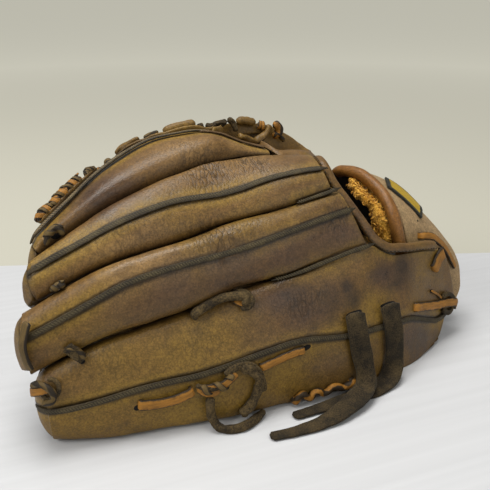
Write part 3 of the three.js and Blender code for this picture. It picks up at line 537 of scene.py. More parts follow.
@dataclass(frozen=True)
class Plain(Finish):
    """A surface of the studio, with faint streaks, that glows where the lamps no longer reach."""

    streak: float = 0.0
    glow: float = 0.8
    glow_from: float = 0.2  # how far from the glove the glow begins and is full, m
    glow_full: float = 1.6

    def detail(self, tree: Tree, shader: Node) -> None:
        """Let the surface glow far from the glove, and lay the streaks over it.

        Args:
            tree: the material's tree.
            shader: its shader.
        """
        place = add_node(tree, "ShaderNodeTexCoord").outputs["Object"]
        far = add_node(tree, "ShaderNodeVectorMath", {0: place}, operation="LENGTH").outputs["Value"]
        shader.inputs["Emission Color"].default_value = linear(self.colour)
        strength = add_node(tree, "ShaderNodeMapRange", {
            "Value": far, "From Min": self.glow_from, "From Max": self.glow_full, "To Max": self.glow})
        tree.links.new(strength.outputs[0], shader.inputs["Emission Strength"])
        if not self.streak:
            return
        stretched = add_node(tree, "ShaderNodeMapping", {
            "Vector": place, "Scale": (3.0, 160.0, 1.0), "Rotation": (0.0, 0.0, math.radians(21))})
        lines = add_node(tree, "ShaderNodeTexNoise", {
            "Vector": stretched.outputs[0], "Scale": 1.0, "Detail": 2.0})
        tone = add_node(tree, "ShaderNodeMapRange", {
            "Value": lines.outputs["Fac"], "From Min": 0.3, "From Max": 0.7, "To Min": 1 - self.streak,
            "To Max": 1.0})
        shade = add_node(tree, "ShaderNodeVectorMath", {
            0: linear(self.colour)[:3], "Scale": tone.outputs[0]}, operation="SCALE")
        tree.links.new(shade.outputs[0], shader.inputs["Base Color"])


# Cowhide, oil-tanned and worn for years: satin, its grain and creases picked out darker,
# with painted shade where it meets the next leather.
BACK_LEATHER = Leather("worn oiled cowhide", "leather", "#624824", 0.46)
# The same hide with more oil left in it: greener and a little duller.
PALM_LEATHER = Leather("worn olive cowhide", "palm_leather", "#634a1e", 0.5, gold="#7c6020")
# Lace cut from that hide: flat, with the same grain.
OLIVE_LACE = Leather("olive flat lace", "lace", "#634a1e", 0.5, gold="#7c6020")
# Cowhide that has dried out: pale and chalky, almost without gloss.
STRAP_LEATHER = Leather("dry tan cowhide", "leather", "#937a57", 0.62, gold="#967a4c", plum="#6b553e")
# Cowhide rolled and rubbed by the wrist: smooth, with a soft shine.
ROLL_LEATHER = Leather("polished brown cowhide", "leather", "#734c20", 0.4, gold="#7a5424", plum="#5e3f1e")
# Split leather, the flesh side out: dull, and dark both in its own colour and with the painted
# shade inside the glove.
LINING_AND_SHADE = Leather("dark leather lining", "leather", "#1a140e", 0.8, gold="#201910", pale="#241d14")
# The cut edge of a hole: fibrous, and dark with shadow.
HOLLOW = Nap("shadowed cut leather", "leather", "#0b0806", 0.9, grit=1.2, contrast=0.2, light="#1c140d")
# Rawhide, greased: waxy orange with fibres along it, and dark edges.
ORANGE_LACE = Rawhide("orange rawhide", "lace", "#8c5f1f", 0.6, edge="#2b1f0e", bare=0.35)
# The same rawhide where it is gripped: olive-brown, its edges nearly black.
DARK_LACE = Rawhide("grip-darkened rawhide", "dark_lace", "#54421f", 0.66, edge="#241b0e", bare=0.35)
# Suede lace soaked with oil: dark and matt, with paler fuzz.
ROPE = Nap("oily suede rope", "dark_lace", "#231b0d", 0.85, grit=1.0, contrast=0.65, light="#6b5733",
           height=0.4)
# Leather folded over cord and waxed: dark, with a dull shine.
PIPING = Nap("waxed piping", "welt", "#231c10", 0.65, grit=0.8, contrast=0.6, light="#524527", height=0.3)
# Waxed thread wound round the piping: fine ribs, a shade lighter.
RIBS = Nap("ribs of the piping", "welt", "#3b3423", 0.7, grit=0.9, contrast=0.7, light="#5f5439", height=0.2)
# The same thread where wear has rubbed the wax off: pale and dry.
PALE_RIBS = Nap("rubbed ribs of the piping", "welt", "#5d4f37", 0.7, grit=0.9, contrast=0.8, light="#857354",
                height=0.2)
# Suede, buffed: no gloss at all, with a nap that catches the light.
SUEDE = Nap("dark suede", "suede", "#181207", 0.95, 0.04, grit=0.8, contrast=0.6, light="#57472a",
            height=0.35)
# Wool, dyed golden and curled: soft and bright, dark between its curls.
PILE = Nap("wool pile", "fleece", "#a3701a", 1.0, 0.1, grit=1.3, contrast=0.9, light="#e2b04e", height=0.8)
# Rayon thread in satin stitch: slanted rows with a silky gleam.
PATCH_THREAD = Woven("yellow satin stitch", "patch", "#ab8c18", 0.6)
# Laminate, pressed smooth: white, with faint streaks and a soft reflection.
TABLE_TOP = Plain("white laminate", "", "#bfc0c3", 0.35, streak=0.06, glow_from=0.45)
# Paper, uncoated: flat, without gloss.
BACKDROP = Plain("pale backdrop paper", "", "#b0aea2", 1.0, specular=0.0)


def add_object(name: str, data: bpy.types.ID) -> bpy.types.Object:
    """Put something new into the scene.

    Args:
        name: the object's name.
        data: its mesh, lamp or camera.

    Returns:
        The object.
    """
    added = bpy.data.objects.new(name, data)
    bpy.context.scene.collection.objects.link(added)
    return added


def new_piece(name: str, mesh: bpy.types.Mesh) -> bpy.types.Object:
    """Put a mesh into the scene as a smooth piece."""
    mesh.shade_smooth()
    return add_object(name, mesh)


def coordinates(mesh: bpy.types.Mesh) -> np.ndarray:
    """Read where a mesh's vertices are.

    Args:
        mesh: the mesh.

    Returns:
        Their places in metres, one a row.
    """
    flat = np.empty(len(mesh.vertices) * 3)
    mesh.vertices.foreach_get("co", flat)
    return flat.reshape(-1, 3)


def vertex_normals(mesh: bpy.types.Mesh) -> np.ndarray:
    """Read which way a mesh's vertices face.

    Args:
        mesh: the mesh.

    Returns:
        Their normals, one a row.
    """
    flat = np.empty(len(mesh.vertices) * 3)
    mesh.vertex_normals.foreach_get("vector", flat)
    return flat.reshape(-1, 3)


def move_vertices(mesh: bpy.types.Mesh, points: np.ndarray) -> None:
    """Move a mesh's vertices to places in metres, one a row."""
    mesh.vertices.foreach_set("co", points.ravel())
    mesh.update()


def store(mesh: bpy.types.Mesh, name: str, values: np.ndarray) -> None:
    """Keep values on a mesh's vertices: a colour if there are four of them, else a number."""
    kind, key = ("FLOAT_COLOR", "color") if values.ndim == 2 else ("FLOAT", "value")
    mesh.attributes.new(name, kind, "POINT").data.foreach_set(key, values.astype(np.float32).ravel())


def search_tree(mesh: bpy.types.Mesh) -> BVHTree:
    """Make a tree that finds the closest point of a mesh."""
    return BVHTree.FromPolygons([v.co for v in mesh.vertices], [p.vertices for p in mesh.polygons])


def replace_mesh(piece: bpy.types.Object) -> bpy.types.Object:
    """Apply a piece's modifiers by taking its evaluated mesh, and remove them.

    Args:
        piece: the piece.

    Returns:
        The same piece, with a plain mesh.
    """
    graph = bpy.context.evaluated_depsgraph_get()
    mesh = bpy.data.meshes.new_from_object(piece.evaluated_get(graph))
    piece.modifiers.clear()
    piece.data = mesh
    return piece


def merged(node: bpy.types.Object) -> bmesh.types.BMesh:
    """Copy a CAD solid with its loose triangles joined at their corners.

    Args:
        node: the CAD node.

    Returns:
        The copy, which the caller frees.
    """
    solid = bmesh.new()
    solid.from_mesh(node.data)
    bmesh.ops.remove_doubles(solid, verts=solid.verts, dist=WELD * MM)
    solid.verts.ensure_lookup_table()
    return solid


def panelled(node: bpy.types.Object) -> bmesh.types.BMesh:
    """Copy a CAD solid with its triangles joined into four-sided panels where they can be.

    Args:
        node: the CAD node.

    Returns:
        The copy, which the caller frees.
    """
    solid = merged(node)
    bmesh.ops.join_triangles(solid, faces=solid.faces, angle_face_threshold=math.radians(PANEL_BEND),
                             angle_shape_threshold=math.radians(PANEL_SKEW))
    return solid


def is_crisp(edge: bmesh.types.BMEdge) -> bool:
    """Tell whether an edge is one of a shell's cut edges."""
    return edge.is_manifold and edge.calc_face_angle() > math.radians(CRISP_BEND)


def dense_copy(node: bpy.types.Object, name: str, levels: int, rim: float = 0.5) -> bpy.types.Object:
    """Copy a CAD shell as a smooth, dense piece.

    Args:
        node: the CAD node.
        name: the new piece's name.
        levels: subdivision levels.
        rim: how crisp the shell's cut edges stay, from 0 to 1.

    Returns:
        The piece, with its subdivision applied.
    """
    solid = panelled(node)
    crease = solid.edges.layers.float.new("crease_edge")
    for edge in solid.edges:
        if is_crisp(edge):
            edge[crease] = rim
    mesh = bpy.data.meshes.new(name)
    solid.to_mesh(mesh)
    solid.free()
    piece = new_piece(name, mesh)
    true_places = coordinates(mesh)
    smooth = piece.modifiers.new("smooth", "SUBSURF")
    smooth.levels = smooth.render_levels = 1
    for _ in range(PUSHES):
        # Subdivision pulls a shell in at its bends, so its corners are pushed out by as much.
        graph = bpy.context.evaluated_depsgraph_get()
        pulled = coordinates(piece.evaluated_get(graph).data)[: len(true_places)]
        move_vertices(mesh, coordinates(mesh) + PUSH * (true_places - pulled))
    smooth.levels = smooth.render_levels = levels
    replace_mesh(piece).data.shade_smooth()
    return piece


@dataclass
class Path:
    """A bar's way: its middle, the directions across and out of it, and its width and height."""

    middle: np.ndarray
    across: np.ndarray
    out: np.ndarray
    width: np.ndarray
    height: np.ndarray

    @property
    def length(self) -> np.ndarray:
        """Distance along the way at each point, in metres."""
        hops = np.linalg.norm(np.diff(self.middle, axis=0), axis=1)
        return np.concatenate([[0], np.cumsum(hops)])

    def finer(self, pitch: float) -> Path:
        """Read the way at smooth, even steps.

        Args:
            pitch: the longest step, in millimetres.

        Returns:
            The finer way.
        """
        length = self.length
        count = max(2, math.ceil(length[-1] / (pitch * MM)))
        at = np.linspace(0, length[-1], count + 1)
        middle = spline(length, self.middle, at)
        tangent = unit(np.gradient(middle, axis=0))
        across = spline(length, self.across, at)
        across = unit(across - tangent * np.sum(across * tangent, axis=1, keepdims=True))
        width = np.interp(at, length, self.width)
        height = np.interp(at, length, self.height)
        return Path(middle, across, np.cross(tangent, across), width, height)

    def part(self, start: float, end: float) -> Path:
        """Keep a stretch of the way.

        Args:
            start: where it starts, as a share of the way's length.
            end: where it ends.

        Returns:
            The stretch.
        """
        length = self.length / self.length[-1]
        kept = (length >= start) & (length <= end)
        return Path(*(getattr(self, row.name)[kept] for row in fields(self)))

    @classmethod
    def joined(cls, parts: Sequence[Path]) -> Path:
        """Join ways end to end."""
        return cls(*(np.concatenate([getattr(part, row.name) for part in parts]) for row in fields(cls)))

    def reaching(self, place: np.ndarray, end: int = -1) -> Path:
        """Lead one end of the way on to a place.

        Args:
            place: the new last point, in metres.
            end: 0 for the way's start and -1 for its end.

        Returns:
            The longer way.
        """
        sides = (rows[end][None] for rows in (self.across, self.out, self.width, self.height))
        last = Path(place[None], *sides)
        return Path.joined((self, last) if end else (last, self))


def unit(vectors: np.ndarray) -> np.ndarray:
    """Scale each row to length one."""
    return vectors / np.maximum(np.linalg.norm(vectors, axis=1, keepdims=True), 1e-12)


def spline(knots: np.ndarray, values: np.ndarray, at: np.ndarray) -> np.ndarray:
    """Read rows of values on a smooth curve through them.

    Args:
        knots: where each row stands.
        values: the rows.
        at: where to read.

    Returns:
        The rows read.
    """
    slope = np.gradient(values, knots if len(knots) > 2 else knots[1] - knots[0], axis=0)
    i = np.clip(np.searchsorted(knots, at, side="right") - 1, 0, len(knots) - 2)
    span = (knots[i + 1] - knots[i])[:, None]
    t = ((at - knots[i])[:, None]) / span
    return (
        values[i] * (2 * t**3 - 3 * t**2 + 1)
        + slope[i] * span * (t**3 - 2 * t**2 + t)
        + values[i + 1] * (3 * t**2 - 2 * t**3)
        + slope[i + 1] * span * (t**3 - t**2)
    )


def ring_layers(solid: bmesh.types.BMesh, first: list[int]) -> list[list[int]]:
    """Walk over a solid's edges, one step at a time.

    Args:
        solid: the solid.
        first: the vertices to start from.

    Returns:
        The vertices reached at each step, the first ones included.
    """
    layers = [first]
    seen = set(first)
    while layers[-1]:
        ends = (e.other_vert(solid.verts[i]).index for i in layers[-1] for e in solid.verts[i].link_edges)
        ahead = set(ends) - seen
        layers.append(sorted(ahead))
        seen |= ahead
    return layers[:-1]


def read_path(node: bpy.types.Object) -> Path:
    """Read the way of a bar back from its CAD solid, ring by ring from one end cap.

    Args:
        node: the CAD node of a lace, welt, edging, roll or strap.

    Returns:
        The bar's way through the middles of its rings.
    """
    solid = merged(node)
    for face in solid.faces:
        cap = {face}
        grown = True
        while grown:
            beside = {f for g in cap for e in g.edges for f in e.link_faces}
            around = {f for f in beside if f.normal.angle(face.normal) < FLAT_BEND}
            grown = bool(around - cap)
            cap |= around
        layers = ring_layers(solid, sorted({v.index for f in cap for v in f.verts}))
        if len({len(layer) for layer in layers}) == 1 and len(layers) > 2 and len(layers[0]) > 3:
            break
    else:
        raise ValueError(f"{node.name} isn't a bar")
    rings = np.array([[solid.verts[i].co[:] for i in layer] for layer in layers])
    solid.free()
    if rings[0, :, 0].mean() > rings[-1, :, 0].mean():
        rings = rings[::-1]
    middle = rings.mean(axis=1)
    tangent = unit(np.gradient(middle, axis=0))
    across = []
    for ring, centre, way in zip(rings, middle, tangent):
        spread = np.linalg.svd(ring - centre)[2][0]
        spread = spread - way * (spread @ way)
        if across and spread @ across[-1] < 0:
            spread = -spread
        across.append(spread)
    across = unit(np.array(across))
    out = np.cross(tangent, across)
    if out[:, 2].sum() < 0 or (abs(out[:, 2].sum()) < 0.2 * len(out) and out[:, 1].sum() > 0):
        across, out = -across, -out
    arms = rings - middle[:, None]
    width = 2 * np.abs(np.einsum("rkc,rc->rk", arms, across)).max(axis=1)
    height = 2 * np.abs(np.einsum("rkc,rc->rk", arms, out)).max(axis=1)
    return Path(middle, across, out, width, height)


def bar(name: str, path: Path, square: float = 2.6, sides: int = 16, cup: float = 0.0, uneven: float = 0.0,
        seed: int = 1) -> bpy.types.Object:
    """Make a closed bar along a way, with rounded ends.

    Args:
        name: the piece's name.
        path: its way.
        square: the superellipse exponent of its section; 2 is round and more is squarer.
        sides: points round the section.
        cup: how far the section's edges curl back, as a share of its width.
        uneven: height of its lumps, in millimetres.
        seed: the lumps' seed.

    Returns:
        The piece, with a UV map that runs along it and round it.
    """
    round_off = END_ROUND * float(path.height.min())
    length = path.length
    ends = np.minimum(length, length[-1] - length)
    taper = np.sqrt(np.clip(1 - (1 - np.clip(ends / round_off, 0.12, 1)) ** 2, 0.02, 1))
    angles = np.linspace(0, 2 * math.pi, sides, endpoint=False)
    horizontal = np.sign(np.cos(angles)) * np.abs(np.cos(angles)) ** (2 / square)
    vertical = np.sign(np.sin(angles)) * np.abs(np.sin(angles)) ** (2 / square)
    wide = path.width[:, None] / 2 * taper[:, None] * horizontal
    high = path.height[:, None] / 2 * taper[:, None] * vertical - cup * path.width[:, None] * horizontal**2
    points = path.middle[:, None] + wide[..., None] * path.across[:, None]
    points += high[..., None] * path.out[:, None]
    flat = points.reshape(-1, 3)
    if uneven:
        away = unit(flat - np.repeat(path.middle, sides, axis=0))
        flat = flat + away * (uneven * MM * lumpy(flat, 4.5, seed))[:, None]
    rows = len(path.middle)
    faces = [(r + c, r + (c + 1) % sides, r + sides + (c + 1) % sides, r + sides + c)
             for r in range(0, (rows - 1) * sides, sides) for c in range(sides)]
    faces.append(tuple(range(sides))[::-1])
    faces.append(tuple((rows - 1) * sides + c for c in range(sides)))
    mesh = bpy.data.meshes.new(name)
    mesh.from_pydata(flat.tolist(), [], faces)
    uv = mesh.uv_layers.new(name="along")
    place = np.zeros((len(mesh.loops), 2))
    for k, (r, c) in enumerate((r, c) for r in range(rows - 1) for c in range(sides)):
        place[4 * k : 4 * k + 4] = [(length[r], c / sides), (length[r], (c + 1) / sides),
                                    (length[r + 1], (c + 1) / sides), (length[r + 1], c / sides)]
    caps = 4 * (rows - 1) * sides
    place[caps:, 0] = np.repeat([length[0], length[-1]], sides)
    place[caps:, 1] = 0.25
    uv.data.foreach_set("uv", place.ravel())
    turned = bmesh.new()
    turned.from_mesh(mesh)
    bmesh.ops.recalc_face_normals(turned, faces=turned.faces)
    turned.to_mesh(mesh)
    turned.free()
    return new_piece(name, mesh)


@dataclass
class Repeat:
    """Small lozenges set one after another along a way: ribs of the piping and stitches."""

    pitch: float
    size: Triple  # along, across and high, mm
    slant: float = 0.0  # degrees that each one is turned from the way
    lift: float = 0.0  # mm out of the way
    jitter: float = 8.0  # degrees of random turn
    seed: int = 3

    def tree(self, material: bpy.types.Material) -> Tree:
        """Build the Geometry Nodes tree that sets the lozenges along a polyline.

        Args:
            material: what they are made of.

        Returns:
            The tree, whose inputs are the pitch and the seed.
        """
        tree, given = geometry_tree("lozenges along a way", Pitch="Float", Seed="Int")
        curve = add_node(tree, "GeometryNodeMeshToCurve", {"Mesh": given.outputs["Geometry"]})
        even = add_node(tree, "GeometryNodeResampleCurve", {
            "Curve": curve.outputs[0], "Length": given.outputs["Pitch"]}, mode="LENGTH")
        tangent = add_node(tree, "GeometryNodeInputTangent")
        out = add_node(tree, "GeometryNodeInputNamedAttribute", {"Name": "out"}, data_type="FLOAT_VECTOR")
        stand = add_node(tree, "FunctionNodeAxesToRotation", {
            "Primary Axis": out.outputs[0], "Secondary Axis": tangent.outputs[0]},
            primary_axis="Z", secondary_axis="X")
        jitter = math.radians(self.jitter)
        turn = add_node(tree, "FunctionNodeRandomValue", {
            "Min": (0.0, 0.0, -jitter), "Max": (0.0, 0.0, jitter), "Seed": given.outputs["Seed"]},
            data_type="FLOAT_VECTOR")
        slanted = add_node(tree, "ShaderNodeVectorMath", {
            0: turn.outputs[0], 1: (0.0, 0.0, math.radians(self.slant))}, operation="ADD")
        spin = add_node(tree, "FunctionNodeRotateRotation", {
            "Rotation": stand.outputs[0], "Rotate By": slanted.outputs[0]}, rotation_space="LOCAL")
        raised = add_node(tree, "ShaderNodeVectorMath", {
            0: out.outputs[0], "Scale": self.lift * MM}, operation="SCALE")
        moved = add_node(tree, "GeometryNodeSetPosition", {
            "Geometry": even.outputs[0], "Offset": raised.outputs[0]})
        ball = add_node(tree, "GeometryNodeMeshUVSphere", {"Segments": 8, "Rings": 5, "Radius": 0.5})
        instances = add_node(tree, "GeometryNodeInstanceOnPoints", {
            "Points": moved.outputs[0], "Instance": ball.outputs[0], "Rotation": spin.outputs[0],
            "Scale": tuple(v * MM for v in self.size)})
        end_tree(tree, instances, material)
        return tree

    def along(self, name: str, path: Path, material: bpy.types.Material) -> bpy.types.Object:
        """Set the lozenges along a way.

        Args:
            name: the new piece's name.
            path: the way, with the direction out of the surface.
            material: what they are made of.

        Returns:
            The piece, as a plain mesh.
        """
        mesh = bpy.data.meshes.new(name)
        count = len(path.middle)
        mesh.from_pydata(path.middle.tolist(), [(i, i + 1) for i in range(count - 1)], [])
        out = mesh.attributes.new("out", "FLOAT_VECTOR", "POINT")
        out.data.foreach_set("vector", path.out.astype(np.float32).ravel())
        piece = new_piece(name, mesh)
        modifier = piece.modifiers.new("repeat", "NODES")
        modifier.node_group = self.tree(material)
        set_inputs(modifier, Pitch=self.pitch * MM, Seed=self.seed)
        return replace_mesh(piece)


def set_inputs(modifier: bpy.types.Modifier, **values: float) -> None:
    """Set a Geometry Nodes modifier's inputs by the sockets' identifiers.

    Args:
        modifier: the modifier, not evaluated yet.
        **values: a value for each named input.
    """
    for item in modifier.node_group.interface.items_tree:
        if item.in_out == "INPUT" and item.name in values:
            modifier[item.identifier] = values[item.name]


def dress(piece: bpy.types.Object, finish: Finish, material: bpy.types.Material, *nodes: str) -> None:
    """Give a piece its finish and its place in the frame.

    Args:
        piece: the piece.
        finish: the finish it takes; it isn't used.
        material: that finish's material.
        *nodes: the CAD nodes that it stands for.
    """
    if not piece.data.materials:
        piece.data.materials.append(material)
    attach(piece, BODY)
    if nodes:
        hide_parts(*nodes)
    LOG.info("%s: %d faces for %s", piece.name, len(piece.data.polygons), ", ".join(nodes) or "trim")


class Workshop:
    """Keeps the frame's CAD nodes, and makes each material, way and search tree once."""

    def __init__(self, frame: dict[str, dict]) -> None:
        """Start with nothing made.
        """
        self.nodes: dict[str, bpy.types.Object] = frame["nodes"]
        self.slots = {entry["node"]: entry["material_slot"] for entry in frame["record"]["subparts"]}
        self.made: dict[str, bpy.types.Material] = {}
        self.ways: dict[str, Path] = {}
        self.solids: dict[str, BVHTree] = {}
        self.skins: dict[str, BVHTree] = {}

    def material(self, finish: Finish) -> bpy.types.Material:
        """Give a finish's material, made once.

        Args:
            finish: the finish.

        Returns:
            The material.
        """
        if finish.name not in self.made:
            self.made[finish.name] = finish.material()
        return self.made[finish.name]

    def way(self, name: str) -> Path:
        """Give the way of a bar's CAD solid, read once.

        Args:
            name: the CAD node.

        Returns:
            The way.
        """
        if name not in self.ways:
            self.ways[name] = read_path(self.nodes[name])
        return self.ways[name]

    def distance(self, points: np.ndarray, names: Sequence[str], reach: float) -> np.ndarray:
        """Measure how far points are from some CAD solids.

        Args:
            points: places, in metres.
            names: the solids' nodes.
            reach: the distance beyond which it doesn't matter, in millimetres.

        Returns:
            The distance to the closest solid in millimetres, or reach where none is closer.
        """
        best = np.full(len(points), float(reach))
        for name in names:
            mesh = self.nodes[name].data
            if name not in self.solids:
                self.solids[name] = search_tree(mesh)
            corners = coordinates(mesh)
            low, high = corners.min(axis=0) - reach * MM, corners.max(axis=0) + reach * MM
            near = np.all((points > low) & (points < high), axis=1)
            for i in np.flatnonzero(near):
                found = self.solids[name].find_nearest(points[i], best[i] * MM)[3]
                if found is not None:
                    best[i] = min(best[i], found / MM)
        return best

    def skin(self, place: Vector) -> tuple[Vector, Vector, float]:
        """Find the closest point of the dressed leather.

        Args:
            place: where to look from, in metres.

        Returns:
            The point, the direction out of the leather there, and how far it is in metres.
        """
        found = min((tree.find_nearest(place) for tree in self.skins.values()), key=lambda hit: hit[3])
        return found[0], found[1], found[3]

    def finish_piece(self, piece: bpy.types.Object, finish: Finish, *nodes: str) -> None:
        """Dress a piece in a finish, in place of the CAD nodes named."""
        dress(piece, finish, self.material(finish), *nodes)


class Shade(Enum):
    """The worn shades of the leather and its painted shade, by their channel in the vertex colour."""

    GOLD = 0
    PLUM = 1
    SOOT = 2
    PALE = 3


@dataclass(frozen=True)
class Spot:
    """A worn place or a patch of painted shade: its middle and radius in millimetres, its shade and how
    strong it is.
    """

    at: Triple
    radius: float
    shade: Shade
    amount: float = 0.8
    stretch: float = 1.4  # how much longer it is along the fingers


@dataclass(frozen=True)
class Fold:
    """A soft fold of the leather from one point to another; a negative depth is a ridge."""

    start: Triple
    end: Triple
    width: float
    depth: float


# Worn places of the leather, and patches of painted shade.
SPOTS = (
    Spot((84, -46, 68), 12, Shade.SOOT, 0.85, 0.8),
    Spot((80, -47, 59), 10, Shade.SOOT, 0.7),
    Spot((84, -46, 64), 22, Shade.PLUM, 0.6, 0.9),
    Spot((38, -57, 66), 10, Shade.SOOT, 0.85, 1.0),
    Spot((41, -57, 58), 12, Shade.SOOT, 0.8, 1.0),
    Spot((26, -60, 60), 14, Shade.SOOT, 0.6),
    Spot((13, -64, 55), 16, Shade.PLUM, 0.7),
    Spot((3, -63, 57), 22, Shade.PLUM, 0.75),
    Spot((24, -60, 66), 16, Shade.PLUM, 0.5),
    Spot((-20, -65, 52), 20, Shade.PLUM, 0.55),
    Spot((89, -54, 24), 20, Shade.PLUM, 0.8),
    Spot((100, -50, 14), 16, Shade.SOOT, 0.6),
    Spot((24, -68, 24), 20, Shade.PLUM, 0.6),
    Spot((-59, -64, 53), 42, Shade.GOLD, 0.75),
    Spot((-110, -62, 50), 34, Shade.GOLD, 0.6),
    Spot((55, -55, 45), 22, Shade.GOLD, 0.85),
    Spot((20, -68, 34), 26, Shade.GOLD, 0.9),
    Spot((-10, -70, 30), 30, Shade.GOLD, 0.8),
    Spot((-62, -72, 16), 40, Shade.GOLD, 0.8),
    Spot((-128, -65, 15), 26, Shade.GOLD, 0.5),
    Spot((30, -52, 84), 18, Shade.GOLD, 0.6),
    Spot((-73, -58, 83), 34, Shade.PLUM, 0.7),
    Spot((-38, -56, 88), 34, Shade.PLUM, 0.75),
    Spot((1, -51, 93), 30, Shade.PLUM, 0.7),
    Spot((30, -45, 99), 30, Shade.PLUM, 0.85),
    Spot((-50, -50, 98), 24, Shade.GOLD, 0.8),
    Spot((-90, -50, 92), 26, Shade.GOLD, 0.6),
    Spot((-21, -43, 109), 22, Shade.GOLD, 0.7),
    Spot((10, -40, 110), 18, Shade.GOLD, 0.5),
    Spot((-60, -34, 118), 22, Shade.GOLD, 0.45),
    Spot((-7, -7, 136), 24, Shade.PALE, 0.35),
    Spot((13, -20, 128), 24, Shade.PLUM, 0.5),
    Spot((-49, -3, 146), 26, Shade.PALE, 0.3),
    Spot((110, -36, 58), 26, Shade.GOLD, 0.6),
    Spot((63, -53, 74), 16, Shade.GOLD, 0.4),
    Spot((100, -45, 40), 18, Shade.GOLD, 0.4),
    # These three darken the top of the index finger with painted shade.
    Spot((-99, -12, 129), 24, Shade.PLUM, 0.85),
    Spot((-101, -13, 127), 18, Shade.SOOT, 0.3),
    Spot((-72, -4, 140), 18, Shade.PLUM, 0.3),
    Spot((-8, -60, 68), 20, Shade.PLUM, 0.9),
    Spot((0, -60, 66), 16, Shade.SOOT, 0.55),
    Spot((-88, -50, 97), 23, Shade.PALE, 0.75),
    Spot((68, -50, 66), 15, Shade.PLUM, 0.8),
    Spot((69, -50, 67), 12, Shade.SOOT, 0.35),
    Spot((-77, -36, 111), 18, Shade.PLUM, 0.35),
    Spot((106, -47, 17), 14, Shade.SOOT, 0.35),
    Spot((113, -37, 49), 20, Shade.PLUM, 0.35),
    Spot((100, -52, 6), 20, Shade.PLUM, 0.6),
    Spot((-125, -62, 47), 15, Shade.PLUM, 0.35),
)

# Soft folds of the leather.
FOLDS = (
    Fold((-62, -34, 128), (-20, -22, 134), 7, 1.2),
    Fold((-30, -10, 144), (8, -6, 138), 9, 1.5),
    Fold((-45, -53, 96), (-30, -50, 101), 8, 1.3),
    Fold((-70, -66, 46), (-10, -66, 52), 12, 1.0),
    Fold((40, -58, 60), (90, -50, 56), 12, 1.0),
    Fold((-96, -70, 22), (-40, -73, 18), 9, 0.9),
    Fold((-50, -12, 134), (-30, -20, 132), 3.0, 0.8),
    Fold((-46, -8, 137), (-24, -14, 135), 2.5, 0.7),
    Fold((-42, -16, 132), (-18, -20, 132), 2.5, 0.7),
    Fold((-52, -44, 106), (-34, -48, 103), 3.0, 0.8),
    Fold((-48, -41, 108), (-30, -44, 107), 2.5, 0.7),
)

# Where the leather is wrinkled; the shade isn't used.
WRINKLES = (
    Spot((-36, -14, 134), 19, Shade.GOLD, 0.9),
    Spot((-5, -10, 136), 13, Shade.GOLD, 0.85),
    Spot((-45, -2, 142), 12, Shade.GOLD, 0.5),
    Spot((-40, -43, 107), 18, Shade.GOLD, 0.85),
    Spot((36, -42, 106), 12, Shade.GOLD, 0.75),
    Spot((5, -62, 60), 14, Shade.GOLD, 0.65),
    Spot((-90, -38, 108), 20, Shade.GOLD, 0.4),
    Spot((-60, -64, 50), 16, Shade.GOLD, 0.4),
    Spot((-110, -60, 50), 14, Shade.GOLD, 0.4),
)


@dataclass(frozen=True)
class Winding:
    """Turns of a flat lace round the ways of some solids: sizes in millimetres and degrees."""

    around: tuple[str, ...]
    turns: float
    radius: float
    width: float = 2.6
    thickness: float = 1.3
    start: float = 0.0
    share: tuple[float, float] = (0.0, 1.0)
    orange: bool = False


@dataclass(frozen=True)
class Hole:
    """A slot or hole in the leather from one end to the other, in millimetres."""

    start: Triple
    end: Triple
    width: float


@dataclass(frozen=True)
class Strand:
    """A short stretch of lace that shows round a knot: its way, width and thickness in mm."""

    name: str
    way: tuple[Triple, ...]
    width: float
    thickness: float
    orange: bool = False


WINDINGS = (
    Winding(("web_tip_lace", "web_flange_lace"), 5.5, 2.9, 3.7, 1.2, 0, orange=True),
    Winding(("web_tip_lace", "web_flange_lace"), 5.5, 3.0, 2.2, 1.5, 170),
    Winding(("web_twist_lace",), 3, 2.3, 2.2, 1.3, 40),
    Winding(("middle_ring_knot",), 1.4, 2.1, 3.2, 1.2, 20, (0.25, 0.85)),
    Winding(("index_middle_knot",), 1.4, 2.1, 3.2, 1.2, 20, (0.25, 0.85)),
    Winding(("palm_knot_wrap",), 2.2, 2.6, 3.6, 1.4, 10, (0.1, 0.9)),
    Winding(("web_end_knot",), 2.5, 2.5, 2.6, 1.3, 0, orange=True),
)

# The ends of each lace that go down through the leather: 0 its start, -1 its end.
TUCKED: dict[str, tuple[int, ...]] = {
    "hole_lace": (0, -1),
    "long_lace": (0, -1),
    "edge_lace": (0, -1),
    "ring_pinky_lace": (0,),
    "heel_corner_lace": (0, -1),
    "heel_lace": (0,),
    "strap_lace": (0,),
}

HOLES = (
    Hole((-100, -70.4, 20.5), (-94.5, -70.4, 21.8), 4.5),
    Hole((0, -69.5, 36.5), (9, -69, 37.8), 4.5),
    Hole((-125, -59.5, 50), (-121, -59.5, 51), 4),
    Hole((-130, -23.7, 109), (-123, -22.8, 109.6), 4),
    Hole((112, -38.5, 41.5), (116, -37.5, 40.5), 3.4),
    Hole((112, -22.8, 76), (115, -21.5, 75.6), 3.2),
    Hole((110.5, -17.9, 85.8), (112.5, -17.4, 84.6), 2.2),
    Hole((33.5, -62.9, 49.4), (47, -60.5, 49.4), 4.5),
    Hole((61, -57.4, 47.9), (78, -52.7, 46.2), 4.5),
)

